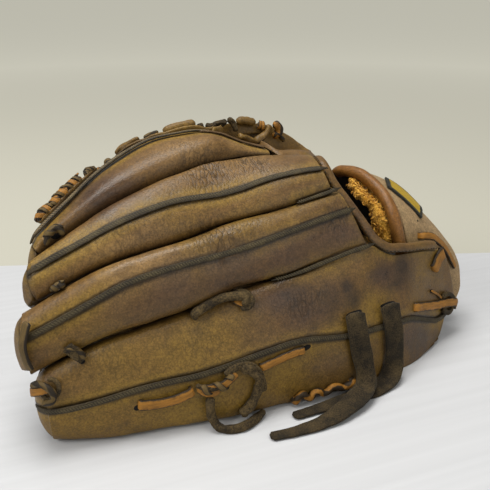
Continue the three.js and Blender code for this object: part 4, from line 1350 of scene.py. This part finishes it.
STRANDS = (
    Strand("pinky_tip_strip", ((-142, -63.8, 39.8), (-145.4, -62.2, 38.8), (-148.8, -59.2, 37),
                               (-150.8, -55.2, 35)), 4.8, 1.4, orange=True),
    Strand("pinky_tip_ring", ((-141.8, -60.8, 44.6), (-138.6, -62.2, 44.2), (-136.7, -63.6, 41.5),
                              (-137.2, -64.7, 37.9), (-140.2, -64.8, 35), (-143.6, -63.1, 34.2),
                              (-145.4, -60.8, 36.6)), 2.6, 2.2),
    Strand("ring_pinky_cut_end", ((-35.6, -57.3, 70.6), (-32.7, -59.3, 69), (-30, -60.6, 68)), 5, 1.8,
           orange=True),
    Strand("ring_pinky_collar", ((-35.8, -55.6, 72.6), (-31, -55, 74), (-27, -57.2, 72.6), (-26, -60.4, 69.2),
                                 (-28.6, -62.2, 66.8), (-33.4, -62, 66.4)), 3.2, 2.4),
    Strand("heel_loop", ((125.6, -36.4, 33.9), (130.6, -34, 34), (137, -31.2, 30.6), (141, -29.6, 25),
                         (139.2, -30.8, 19.6), (132.4, -35, 19.6), (126, -37.4, 24.6)), 3.4, 2.2),
    Strand("heel_stub", ((113.2, -39.6, 42), (119.5, -37.3, 37.6), (125.4, -35.4, 32.6)), 2.2, 1.2,
           orange=True),
    Strand("palm_knot_arch", ((-47.2, -73.2, 32.2), (-42.8, -72.8, 34.9), (-37.3, -72.7, 36.3),
                              (-31.9, -73.1, 35.3), (-27.9, -73.9, 31.6), (-25.7, -75.1, 25.4),
                              (-24.6, -75.7, 18)), 4.2, 2.6),
    Strand("palm_knot_band", ((-64.4, -73.5, 30.1), (-59.9, -74.2, 27.5), (-54.8, -74.7, 26),
                              (-49.5, -74.8, 26.8), (-44.4, -74.3, 30)), 2.8, 2),
    Strand("palm_knot_end", ((-62.4, -73.5, 25.6), (-58.4, -74.1, 23.4), (-54.4, -74.4, 22.8),
                             (-51, -74.3, 24.2)), 3.6, 1.6, orange=True),
    Strand("ring_pinky_band", ((-130.3, -60.4, 61.4), (-127.6, -61.2, 58.4), (-124.6, -61.4, 55.4),
                               (-122.2, -60.6, 52.6)), 6.5, 1.6),
)

# Welts that rise out of a crease.
VALLEYS = ("middle_ring_welt", "ring_pinky_welt")
# The web's edge below its laces, and a sheet of painted shadow inside the strap, from edge to edge.
WEB_FALL = (
    ((-22.1, 19.0, 150.9), (-22.6, 18.0, 143.5)),
    ((-12.4, 28.0, 150.9), (-11.5, 27.0, 137.9)),
    ((-2.3, 33.0, 150.1), (0.0, 32.0, 133.1)),
    ((7.7, 37.0, 148.5), (9.8, 35.0, 128.7)),
    ((17.8, 39.0, 146.7), (19.0, 36.0, 125.5)),
    ((25.9, 39.0, 143.3), (27.9, 36.0, 124.0)),
    ((34.5, 38.0, 138.4), (36.5, 35.0, 123.4)),
    ((42.8, 36.0, 132.9), (44.0, 33.0, 123.2)),
    ((48.4, 33.0, 129.2), (48.7, 30.0, 123.5)),
    ((53.2, 30.0, 126.3), (53.1, 28.0, 123.6)),
)
STRAP_SHADOW = (
    ((82, 33, 112), (66, 33, 104)),
    ((92, 33, 102), (76, 33, 92)),
    ((103, 33, 88), (86, 33, 76)),
    ((111, 33, 74), (94, 33, 62)),
    ((116, 33, 60), (98, 33, 50)),
)
# How much wider a lace is than its CAD solid.
WIDER = {
    "heel_corner_lace": 1.9,
    "web_edge_lace": 1.5,
    "web_dark_lace": 1.6,
    "web_ring": 1.4,
    "web_loop": 1.4,
    "web_end_lace": 1.5,
    "web_end_loop": 1.25,
    "heel_lace": 1.25,
    "hole_lace": 1.15,
    "palm_knot_loop": 1.45,
    "palm_knot_tail": 1.3,
    "ring_pinky_lace": 1.25,
}
ROPES = ("palm_knot_loop", "palm_knot_tail", "ring_pinky_lace", "web_dark_lace", "web_ring", "web_loop")
WEB_RIM = ("web_tip_lace", "web_flange_lace", "web_twist_lace", "web_cross_lace", "web_knot", "web_edge_lace",
           "web_thong", "web_roll_front", "web_dark_lace")
OPENING_MIDDLE = (75, -5, 100)
BACKS = ("ring_back", "middle_back", "index_back", "pinky_back", "thumb_back")
FRONTS = ("pinky_side", "palm", "web")
ROLLED = ("web_roll_front", "web_roll_back", "web_tab")
OLIVE = ("web_edge_lace", "web_end_lace")


@dataclass
class WearAndShade:
    """Stores where leather is worn, dirty, wrinkled and shiny, and where painted shade and
    painted shadow lines darken its creases and grooves, as vertex colours.
    """

    shop: Workshop
    shells: tuple[str, ...]
    dirt_reach: float = 4.5  # how far painted shade spreads from a crease between two leathers, mm
    groove_reach: float = 1.8  # how far the painted shadow line in such a crease reaches, mm
    wax_reach: float = 9.0  # how far the piping's wax stains the leather beside it, mm
    seam_reach: float = 1.5  # how far the painted shadow line in the groove beside a piping reaches, mm
    frays: tuple[Lumps, ...] = (Lumps(0.35, 9, 21), Lumps(0.2, 4, 22))  # how a spot's edge frays

    def mark(self, mesh: bpy.types.Mesh, name: str) -> None:
        """Store the wear and the painted shade of one piece.

        Args:
            mesh: the piece's mesh.
            name: the node that it stands for.
        """
        points = coordinates(mesh)
        shades = np.zeros((len(points), 4))
        marks = np.zeros((len(points), 4))
        for spot in SPOTS:
            shade = shades[:, spot.shade.value]
            np.maximum(shade, self.spread(points, spot), out=shade)
        for spot in WRINKLES:
            np.maximum(marks[:, 0], self.spread(points, spot), out=marks[:, 0])
        others = [n for n in self.shells if n != name]
        crease = self.shop.distance(points, others, self.dirt_reach)
        seams = [n for n in self.shop.nodes if n.endswith("_welt") or n == "opening_binding"]
        seam = self.shop.distance(points, [n for n in seams if n != name], self.wax_reach)
        # The painted shade of a crease, the wax stain beside a piping and the painted shadow lines in
        # both are strongest against a neighbour and fade out with the distance to it.
        for shade, amount in (
            (shades[:, Shade.SOOT.value], 0.55 * smoothstep(self.dirt_reach, 1.2, crease)),
            (shades[:, Shade.GOLD.value], 0.75 * smoothstep(self.wax_reach, 2.5, seam)),
            (marks[:, 2], 0.85 * smoothstep(self.groove_reach, 0.5, crease)),
            (marks[:, 2], 0.9 * smoothstep(self.seam_reach, 0.6, seam)),
        ):
            np.maximum(shade, amount, out=shade)
        marks[:, 1] = shades[:, Shade.PLUM.value]
        store(mesh, "wear", shades)
        store(mesh, "marks", marks)

    def spread(self, points: np.ndarray, spot: Spot) -> np.ndarray:
        """Measure how strong a spot is, stretched along the fingers and uneven.

        Args:
            points: places, in metres.
            spot: the spot.

        Returns:
            Its strength at each place.
        """
        away = (points - np.array(spot.at) * MM) / (spot.radius * MM)
        away[:, 0] /= spot.stretch
        ragged = sum((fray.at(points) for fray in self.frays), 1.0)
        return spot.amount * smoothstep(1.25, 0.1, np.linalg.norm(away, axis=1) * ragged)


@dataclass
class Shells:
    """The leather shells: finger backs, thumb, palm, web and strap."""

    shop: Workshop
    wear: WearAndShade
    lining_reach: float = 1.08  # how much larger than the web its lining is
    lining_depth: float = 4.2  # how far under the web it lies, mm
    uneven: tuple[Lumps, ...] = (Lumps(0.4, 17, 5), Lumps(0.2, 8, 9))

    def build(self) -> None:
        """Make every shell, and keep its surface for what goes through it."""
        for name in (*BACKS, *FRONTS, "wrist_strap"):
            self.shop.skins[name] = search_tree(self.shell(name).data)
        self.web_lining()

    def shell(self, name: str) -> bpy.types.Object:
        """Make one shell with its folds, wear and marks.

        Args:
            name: the CAD node.

        Returns:
            The piece.
        """
        piece = dense_copy(self.shop.nodes[name], f"{name}_leather", 3)
        mesh = piece.data
        points = coordinates(mesh)
        normals = vertex_normals(mesh)
        outer = self.facing_out(points, normals)
        sign = np.where(outer, 1.0, -1.0)
        shift = sum(lumps.at(points) for lumps in self.uneven)
        for fold in FOLDS:
            shift -= fold.depth * self.near_line(points, fold)
        move_vertices(mesh, points + normals * (sign * shift * MM)[:, None])
        self.wear.mark(mesh, name)
        finish = PALM_LEATHER if name in FRONTS else STRAP_LEATHER if name == "wrist_strap" else BACK_LEATHER
        mesh.materials.clear()
        mesh.materials.append(self.shop.material(finish))
        # The inner walls take the lining, dark partly in its own colour and partly with painted shade.
        if name != "palm":
            mesh.materials.append(self.shop.material(LINING_AND_SHADE))
            corners = np.array([list(p.vertices)[:3] for p in mesh.polygons])
            inner = ~outer[corners].any(axis=1)
            mesh.polygons.foreach_set("material_index", inner.astype(np.int32))
        self.shop.finish_piece(piece, finish, name)
        return piece

    def web_lining(self) -> None:
        """Line the web with dark leather, partly painted shade, that closes its seams with the thumb and
        the index finger.
        """
        piece = dense_copy(self.shop.nodes["web"], "web_lining", 1)
        points = coordinates(piece.data)
        middle = points.mean(axis=0)
        inward = np.linalg.svd(points - middle, full_matrices=False)[2][2]
        inward *= -np.sign(inward[2]) * self.lining_depth * MM
        away = points - middle
        away[:, 0] = np.where(away[:, 0] > 0, away[:, 0] * self.lining_reach, away[:, 0])
        away[:, 1:] *= self.lining_reach
        move_vertices(piece.data, middle + away + inward)
        self.wear.mark(piece.data, "web")
        self.shop.finish_piece(piece, LINING_AND_SHADE)

    @staticmethod
    def facing_out(points: np.ndarray, normals: np.ndarray) -> np.ndarray:
        """Tell the outer wall of a shell from its inner one, slice by slice along X.

        Args:
            points: the shell's vertices, in metres.
            normals: which way they face.

        Returns:
            Whether each one is on the outer wall.
        """
        slices = np.floor(points[:, 0] / (SLICE * MM)).astype(int)
        centre = np.zeros_like(points)
        for k in np.unique(slices):
            inside = slices == k
            centre[inside] = points[inside].mean(axis=0)
        return np.sum((points - centre) * normals, axis=1) > 0

    @staticmethod
    def near_line(points: np.ndarray, fold: Fold) -> np.ndarray:
        """Measure how close points are to a fold's line.

        Args:
            points: places, in metres.
            fold: the fold.

        Returns:
            One on the line and nothing far from it, for each place.
        """
        start, end = np.array(fold.start) * MM, np.array(fold.end) * MM
        way = end - start
        t = np.clip((points - start) @ way / (way @ way), 0, 1)
        away = np.linalg.norm(points - start - t[:, None] * way, axis=1) / (fold.width * MM)
        return np.exp(-(away**2)) * np.sin(math.pi * np.clip(t, 0.04, 0.96))


@dataclass
class Laces:
    """Every rawhide lace and knot, on the way of its CAD solid."""

    shop: Workshop
    wear: WearAndShade
    skin_reach: float = 8.0  # an end farther from the leather than this isn't tucked in, mm
    tuck_depth: float = 1.6  # how far under the leather's face a tucked end goes, mm
    rim_even: int = 9  # points over which the foot of the web's edge is evened out
    rim_share: float = 0.75  # how far up to the laces the strip below them goes
    rim_foot: float = 1.5  # how far its foot stands out of the web, mm
    rim_top: float = 2.4  # how much farther its top does, mm
    wobble: float = 0.15  # how unevenly wound turns lie, mm

    def build(self) -> None:
        """Make each lace, the web's rolled leathers, and the turns wound round the knots."""
        for name, slot in self.shop.slots.items():
            if name in ROLLED or name in OLIVE:
                self.lace(name, PALM_LEATHER if name in ROLLED else OLIVE_LACE)
            elif slot in ("lace", "dark_lace"):
                self.lace(name, ORANGE_LACE if slot == "lace" else ROPE if name in ROPES else DARK_LACE)
        for winding in WINDINGS:
            self.wind(winding)
        for strand in STRANDS:
            self.strand(strand)
        self.rim()
        self.sheet("web_fall", WEB_FALL, PALM_LEATHER, 2.2)
        # A sheet of painted shadow inside the strap, in the lining's dark colour.
        self.sheet("strap_shadow", STRAP_SHADOW, LINING_AND_SHADE, 1.2)

    def lace(self, name: str, finish: Finish) -> None:
        """Make one lace, with the ends that go through the leather tucked in.

        Args:
            name: the CAD node.
            finish: what it is made of.
        """
        path = self.shop.way(name)
        for end in TUCKED.get(name, ()):
            path = self.tuck(path, end)
        path = path.finer(0.7)
        path.width = path.width * WIDER.get(name, 1.0)
        flat = path.width.mean() > 1.5 * path.height.mean()
        piece = bar(f"{name}_piece", path, square=5.0 if flat else 2.4, sides=20 if flat else 16,
                    cup=0.05 if flat else 0.0, uneven=0.2, seed=len(name))
        if isinstance(finish, Leather):
            self.wear.mark(piece.data, name)
        self.shop.finish_piece(piece, finish, name)

    def tuck(self, path: Path, end: int) -> Path:
        """Lead one end of a way down through the leather below it.

        Args:
            path: the way.
            end: 0 for its start and -1 for its end.

        Returns:
            The longer way, or the same one where no leather is near.
        """
        point, normal, away = self.shop.skin(Vector(path.middle[end]))
        if away > self.skin_reach * MM:
            return path
        return path.reaching(np.array(point - normal * self.tuck_depth * MM), end)

    def strand(self, strand: Strand) -> None:
        """Lay one short stretch of lace over the leather.

        Args:
            strand: the stretch.
        """
        middle = np.array(strand.way) * MM
        tangent = unit(np.gradient(middle, axis=0))
        out = np.array([self.shop.skin(Vector(place))[1] for place in middle])
        size = np.full(len(middle), MM)
        path = Path(middle, unit(np.cross(out, tangent)), out, strand.width * size, strand.thickness * size)
        square = 4.5 if strand.width > 1.5 * strand.thickness else 2.4
        piece = bar(f"{strand.name}_lace", path.finer(0.6), square=square, uneven=0.15)
        self.shop.finish_piece(piece, ORANGE_LACE if strand.orange else ROPE)

    def rim(self) -> None:
        """Fill the web's edge below its laces with the strip of leather that they are wound round."""
        path = Path.joined([self.shop.way(name) for name in WEB_RIM]).finer(1.5)
        foot = np.array([self.shop.skin(Vector(place))[0] for place in path.middle])
        spread = np.ones(self.rim_even) / self.rim_even
        beyond = self.rim_even // 2
        padded = np.pad(foot, ((beyond, beyond), (0, 0)), mode="edge")
        foot = np.stack([np.convolve(axis, spread, "valid") for axis in padded.T], axis=1)
        foot[:, 1] -= self.rim_foot * MM
        top = foot + self.rim_share * (path.middle - foot)
        top[:, 1] -= self.rim_top * MM
        self.sheet("web_rim", np.stack([top, foot], axis=1) / MM, PALM_LEATHER, 2.0)

    def sheet(self, name: str, ends: Sequence[tuple[Triple, Triple]], finish: Finish,
              thickness: float) -> None:
        """Span a strip of leather between pairs of points along its two edges.

        Args:
            name: the piece's name.
            ends: the pairs, in millimetres.
            finish: what it is made of.
            thickness: how thick it is, in millimetres.
        """
        top, foot = np.moveaxis(np.array(ends), 1, 0) * MM
        span = top - foot
        middle = foot + span / 2
        tangent = unit(np.gradient(middle, axis=0))
        across = unit(span - tangent * np.sum(span * tangent, axis=1, keepdims=True))
        width = np.linalg.norm(span, axis=1) + thickness * MM
        path = Path(middle, across, np.cross(tangent, across), width, np.full(len(middle), thickness * MM))
        piece = bar(f"{name}_leather", path.finer(1.5), square=3.0, sides=24, uneven=0.3)
        self.wear.mark(piece.data, "web")
        self.shop.finish_piece(piece, finish)

    def wind(self, winding: Winding) -> None:
        """Wind a flat lace round the ways of some solids, joined end to end.

        Args:
            winding: the turns.
        """
        joined = Path.joined([self.shop.way(name) for name in winding.around]).finer(0.35)
        core = joined.part(*winding.share)
        turns = np.linspace(0, 2 * math.pi * winding.turns, len(core.middle)) + math.radians(winding.start)
        radius = (winding.radius * MM + self.wobble * MM * np.sin(3 * turns))[:, None]
        arm = np.cos(turns)[:, None] * core.across + np.sin(turns)[:, None] * core.out
        middle = core.middle + arm * radius
        tangent = unit(np.gradient(middle, axis=0))
        count = len(middle)
        path = Path(middle, np.cross(arm, tangent), arm, np.full(count, winding.width * MM),
                    np.full(count, winding.thickness * MM))
        finish = ORANGE_LACE if winding.orange else DARK_LACE
        piece = bar(f"{winding.around[0]}_turns_{winding.start:.0f}", path, square=3.6, sides=10, uneven=0.1)
        self.shop.finish_piece(piece, finish)


@dataclass
class Holes:
    """The slots and holes that laces and straps go through, as dark flat lenses in the leather,
    painted with the shade inside them.
    """

    shop: Workshop
    thick: float = 0.7  # half the thickness of a lens, mm
    sunk: float = 0.45  # how far its middle lies under the leather's face, mm

    def build(self) -> None:
        """Make them all as one piece."""
        lenses = bmesh.new()
        for hole in HOLES:
            start, end = Vector(hole.start) * MM, Vector(hole.end) * MM
            point, normal, _ = self.shop.skin((start + end) / 2)
            way = (end - start) - normal * (end - start).dot(normal)
            side = normal.cross(way).normalized()
            size = (way.length / 2, hole.width * MM / 2, self.thick * MM)
            axes = Matrix((way.normalized() * size[0], side * size[1], normal * size[2])).transposed()
            place = Matrix.Translation(point - normal * self.sunk * MM) @ axes.to_4x4()
            bmesh.ops.create_uvsphere(lenses, u_segments=16, v_segments=8, radius=1.0, matrix=place)
        bmesh.ops.recalc_face_normals(lenses, faces=lenses.faces)
        mesh = bpy.data.meshes.new("lace_holes")
        lenses.to_mesh(mesh)
        lenses.free()
        self.shop.finish_piece(new_piece("lace_holes", mesh), HOLLOW)


@dataclass
class Piping:
    """The dark ribbed welts along the stalls and in the creases."""

    shop: Workshop
    wear: WearAndShade
    rib: Repeat = field(default_factory=lambda: Repeat(1.6, (1.0, 3.0, 0.6), slant=36, lift=0.45))
    fade: float = 9.0  # length over which a welt's start narrows, mm
    valley_fade: float = 26.0  # the same where one rises out of a crease
    narrow: float = 0.35  # share of its width that a narrowed end keeps
    flatten: float = 0.8  # its height as a share of its CAD solid's
    end_fade: dict[str, float] = field(default_factory=lambda: {"pinky_welt": 14.0, "index_welt": 22.0})
    overlap: float = 6.0  # length that runs on under the edging, mm
    sunk: float = 0.25  # how much deeper than its CAD solid a welt lies, mm
    end_sunk: float = 0.9  # how much deeper again where it has narrowed away, mm
    proud: float = 0.7  # how much higher than its CAD solid the index welt lies, mm
    shown: float = 0.8  # share of the index welt that shows before leather covers it
    cover_start: float = 0.74  # where that leather starts, as a share of the welt
    cover_width: float = 0.9  # its width, as a share of the welt's

    def build(self) -> None:
        """Make each welt as a cord with ribs across it, narrowed where it runs out."""
        for name in [n for n in self.shop.nodes if n.endswith("_welt")]:
            whole = self.shop.way(name).finer(1.2)
            path = whole.part(0.0, self.shown) if name == "index_welt" else self.longer(whole, name)
            length = path.length / MM
            start = self.valley_fade if name in VALLEYS else self.fade
            end = self.end_fade.get(name, 0.5)
            full = smoothstep(0, start, length) * smoothstep(0, end, length[-1] - length)
            size = self.narrow + (1 - self.narrow) * full
            sunk = self.end_sunk * (1 - size[:, None]) + (-self.proud if name == "index_welt" else self.sunk)
            path.middle = path.middle - path.out * sunk * MM
            path.width = path.width * size
            path.height = path.height * self.flatten
            piece = bar(f"{name}_piping", path, square=4.5, uneven=0.06)
            self.shop.finish_piece(piece, PIPING, name)
            finish = PALE_RIBS if name == "index_welt" else RIBS
            ribs = self.rib.along(f"{name}_ribs", path.part(0.04, 0.98), self.shop.material(finish))
            self.shop.finish_piece(ribs, finish)
            if name == "index_welt":
                cover = whole.part(self.cover_start, 1.0)
                cover.width = cover.width * self.cover_width
                piece = bar("index_seam_cover", cover, square=2.4, uneven=0.2)
                self.wear.mark(piece.data, name)
                self.shop.finish_piece(piece, BACK_LEATHER)

    def longer(self, path: Path, name: str) -> Path:
        """Lead a welt that doesn't narrow on under the edging of the opening.

        Args:
            path: the welt's way.
            name: its CAD node.

        Returns:
            The longer way, or the same one where the welt narrows.
        """
        if name in self.end_fade:
            return path
        step = path.middle[-1] - path.middle[-4]
        return path.reaching(path.middle[-1] + step / np.linalg.norm(step) * self.overlap * MM)


@dataclass
class Edging:
    """The leather edging of the hand opening and the rolled edge of the strap, with stitches."""

    shop: Workshop
    wear: WearAndShade
    stitch: Repeat = field(default_factory=lambda: Repeat(3.4, (2.2, 0.8, 0.6)))
    seam_side: float = 0.4  # how far from the edging's middle its seam runs, as a share of its width
    seam_rise: float = 0.33  # how high above its middle, as a share of its height

    def build(self) -> None:
        """Make the edging, the roll and the seams beside them."""
        binding = self.shop.way("opening_binding").finer(1.0)
        piece = bar("opening_edging", binding, square=2.6, sides=20, cup=0.05, uneven=0.15)
        self.wear.mark(piece.data, "opening_binding")
        self.shop.finish_piece(piece, BACK_LEATHER, "opening_binding")
        outward = np.sum(binding.across * (binding.middle - np.array(OPENING_MIDDLE) * MM), axis=1)
        side = np.sign(np.median(outward)) * self.seam_side * binding.width[:, None]
        edge = binding.middle + binding.across * side + binding.out * self.seam_rise * binding.height[:, None]
        seam = Path(edge, binding.across, binding.out, binding.width, binding.height)
        stitches = self.stitch.along("edging_stitches", seam, self.shop.material(PIPING))
        self.shop.finish_piece(stitches, PIPING)
        roll = self.shop.way("strap_roll").finer(1.5)
        piece = bar("strap_rolled_edge", roll, square=2.0, sides=24, uneven=0.25)
        self.wear.mark(piece.data, "strap_roll")
        self.shop.finish_piece(piece, ROLL_LEATHER, "strap_roll")


@dataclass
class SuedeStraps:
    """The two suede straps that hang from slots in the heel."""

    shop: Workshop
    names: tuple[str, ...] = ("pinky_strap_front", "pinky_strap_rear")
    sway: float = 0.04  # how much wider or narrower a strap is than its CAD solid, as a share

    def build(self) -> None:
        """Make both straps with edges that are a little wavy."""
        for seed, name in enumerate(self.names):
            path = self.shop.way(name).finer(1.6)
            path.width = path.width * (1 + self.sway * lumpy(path.middle, 11, seed))
            piece = bar(f"{name}_suede", path, square=7.0, sides=28, cup=0.02, uneven=0.25, seed=seed)
            self.shop.finish_piece(piece, SUEDE, name)


@dataclass
class Fleece:
    """The golden pile that lines the strap, as a lumpy mat covered in curls."""

    shop: Workshop
    curl: float = 1.5  # radius of a curl, mm
    wool: float = 0.36  # radius of its thread, as a share of that
    closed: float = 0.8  # share of a full ring that a curl has
    density: float = 130000.0  # curls a square metre
    tufts: tuple[Lumps, ...] = (Lumps(0.7, 4.5, 4), Lumps(0.35, 2.4, 8))
    sunk: float = 0.6  # how far under its CAD solid's face the mat lies, mm
    puff: Triple = (80, 0, 104)  # where the pile swells towards the fingers, mm
    swell: float = 5.5  # how far it swells, mm
    swell_full: float = 3.0  # how near to that place it swells fully, mm
    swell_reach: float = 20.0  # how far from it it swells at all, mm
    seed: int = 11

    def build(self) -> None:
        """Make the mat and strew the curls on it."""
        piece = dense_copy(self.shop.nodes["strap_fleece"], "strap_pile", 2)
        mesh = piece.data
        points, normals = coordinates(mesh), vertex_normals(mesh)
        lift = sum(tuft.at(points) for tuft in self.tufts) - self.sunk
        away = np.linalg.norm(points - np.array(self.puff) * MM, axis=1) / MM
        points[:, 0] -= self.swell * MM * smoothstep(self.swell_reach, self.swell_full, away)
        move_vertices(mesh, points + normals * (lift * MM)[:, None])
        mesh.materials.clear()
        curls = new_piece("strap_pile_curls", mesh.copy())
        modifier = curls.modifiers.new("curls", "NODES")
        modifier.node_group = self.tree()
        set_inputs(modifier, Density=self.density, Seed=self.seed)
        replace_mesh(curls)
        self.shop.finish_piece(piece, PILE, "strap_fleece")
        self.shop.finish_piece(curls, PILE)

    def tree(self) -> Tree:
        """Build the tree that strews small open rings over a surface.

        Returns:
            The tree, whose inputs are the density and the seed.
        """
        tree, given = geometry_tree("curls on a mat", Density="Float", Seed="Int")
        seed = given.outputs["Seed"]
        spread = add_node(tree, "GeometryNodeDistributePointsOnFaces", {
            "Mesh": given.outputs["Geometry"], "Density": given.outputs["Density"], "Seed": seed})
        ring = add_node(tree, "GeometryNodeCurvePrimitiveCircle", {"Resolution": 9, "Radius": self.curl * MM})
        cut = add_node(tree, "GeometryNodeTrimCurve", {"Curve": ring.outputs[0], "End": self.closed})
        thread = add_node(tree, "GeometryNodeCurvePrimitiveCircle", {
            "Resolution": 5, "Radius": self.wool * self.curl * MM})
        wool = add_node(tree, "GeometryNodeCurveToMesh", {
            "Curve": cut.outputs[0], "Profile Curve": thread.outputs[0], "Fill Caps": True})
        turn = add_node(tree, "FunctionNodeRandomValue", {
            "Min": (0.0, 0.0, 0.0), "Max": (6.283, 6.283, 6.283), "Seed": seed}, data_type="FLOAT_VECTOR")
        size = add_node(tree, "FunctionNodeRandomValue", {2: 0.6, 3: 1.15, "Seed": seed}, data_type="FLOAT")
        instances = add_node(tree, "GeometryNodeInstanceOnPoints", {
            "Points": spread.outputs["Points"], "Instance": wool.outputs[0], "Rotation": turn.outputs[0],
            "Scale": size.outputs[1]})
        end_tree(tree, instances, self.shop.material(PILE))
        return tree


@dataclass
class Patch:
    """The bare woven patch on the strap."""

    shop: Workshop
    steps: int = 12  # points read on each stretch of its rim

    def build(self) -> None:
        """Make the patch and store how far each of its points is from the rim."""
        node = self.shop.nodes["strap_patch"]
        solid = panelled(node)
        rim = [[v.co.copy() for v in edge.verts] for edge in solid.edges if is_crisp(edge)]
        solid.free()
        marks = KDTree(len(rim) * self.steps)
        for k, (a, b) in enumerate(rim):
            for i in range(self.steps):
                marks.insert(a.lerp(b, i / self.steps), k)
        marks.balance()
        piece = dense_copy(node, "strap_patch_weave", 4, 0.8)
        points = coordinates(piece.data)
        away = np.array([marks.find(p)[2] for p in points]) / MM
        store(piece.data, "rim", away)
        piece.data.materials.clear()
        self.shop.finish_piece(piece, PATCH_THREAD, "strap_patch")


@dataclass
class Studio:
    """Table, backdrop, camera and lights."""

    shop: Workshop
    azimuth: float = 21.0  # degrees that the camera stands towards the fingertips
    elevation: float = 22.0
    eye: Triple = (-154.2, -382.9, 243.8)
    lens: float = 50.0
    sensor: float = 36.0
    edge: tuple[Triple, Triple] = ((-159, 212, 0), (268, 81, 0))  # where the table meets the backdrop
    reach: float = 8.0  # how far both go on, m

    def build(self) -> None:
        """Set up the scene round the glove."""
        bpy.context.scene.view_settings.view_transform = "Standard"
        self.camera()
        self.backdrop()
        self.lights()

    def directions(self) -> tuple[Vector, Vector, Vector]:
        """Find which way the camera is turned.

        Returns:
            Its right, its up and the way it looks.
        """
        turn, tilt = math.radians(self.azimuth), math.radians(self.elevation)
        right = Vector((math.cos(turn), -math.sin(turn), 0))
        ahead = Vector((math.sin(turn) * math.cos(tilt), math.cos(turn) * math.cos(tilt), -math.sin(tilt)))
        return right, right.cross(ahead), ahead

    def camera(self) -> None:
        """Place the camera at the photograph's angle."""
        data = bpy.data.cameras.new("camera")
        data.lens, data.sensor_width = self.lens, self.sensor
        eye = add_object("camera", data)
        right, up, ahead = self.directions()
        turned = Matrix((right, up, -ahead)).transposed().to_4x4()
        eye.matrix_world = Matrix.Translation(Vector(self.eye) * MM) @ turned
        bpy.context.scene.camera = eye

    def backdrop(self) -> None:
        """Lay the table, and the backdrop that goes on behind it at the same level."""
        left, right = (Vector(point) * MM for point in self.edge)
        side = (right - left).normalized() * self.reach
        front = Vector((side.y, -side.x, 0))
        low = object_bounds()[0][2]
        for name, depth, finish in (("table", front, TABLE_TOP), ("backdrop", -front, BACKDROP)):
            corners = (left - side, left - side + depth, left + side + depth, left + side)
            mesh = bpy.data.meshes.new(name)
            mesh.from_pydata([(p.x, p.y, p.z + low) for p in corners], [], [(0, 1, 2, 3)])
            mesh.materials.append(self.shop.material(finish))
            add_object(name, mesh)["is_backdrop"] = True

    def lights(self) -> None:
        """Hang soft boxes over and before the glove, in a pale room."""
        world = bpy.data.worlds.new("room")
        world.use_nodes = True
        room = world.node_tree.nodes["Background"]
        room.inputs["Color"].default_value = linear("#f1f1ee")
        room.inputs["Strength"].default_value = 0.4
        bpy.context.scene.world = world
        # Each soft box has its place and width in metres, its watts and its colour.
        boxes = (
            ("overhead", (-0.1, 0.05, 1.1), 0.6, 12.5, "#fffdf8"),
            ("window", (-1.0, -0.3, 0.8), 0.5, 8.0, "#fffefa"),
            ("fill", (0.5, -1.1, 0.6), 0.9, 4.0, "#fffcf4"),
        )
        for name, place, size, watts, colour in boxes:
            data = bpy.data.lights.new(name, "AREA")
            data.shape, data.size, data.energy = "SQUARE", size, watts
            data.color = linear(colour)[:3]
            lamp = add_object(name, data)
            lamp.location = place
            lamp.rotation_euler = (-Vector(place)).to_track_quat("-Z", "Y").to_euler()


def main() -> None:
    """Build the studio and every piece of the glove."""
    logging.basicConfig(level=logging.INFO, format="%(message)s")
    shop = Workshop(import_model())
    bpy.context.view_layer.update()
    wear = WearAndShade(shop, (*BACKS, *FRONTS))
    builders: tuple[Callable[[], None], ...] = (
        Studio(shop).build,
        Shells(shop, wear).build,
        Piping(shop, wear).build,
        Edging(shop, wear).build,
        Laces(shop, wear).build,
        Holes(shop).build,
        SuedeStraps(shop).build,
        Fleece(shop).build,
        Patch(shop).build,
    )
    for build in builders:
        build()


if __name__ == "__main__":
    main()
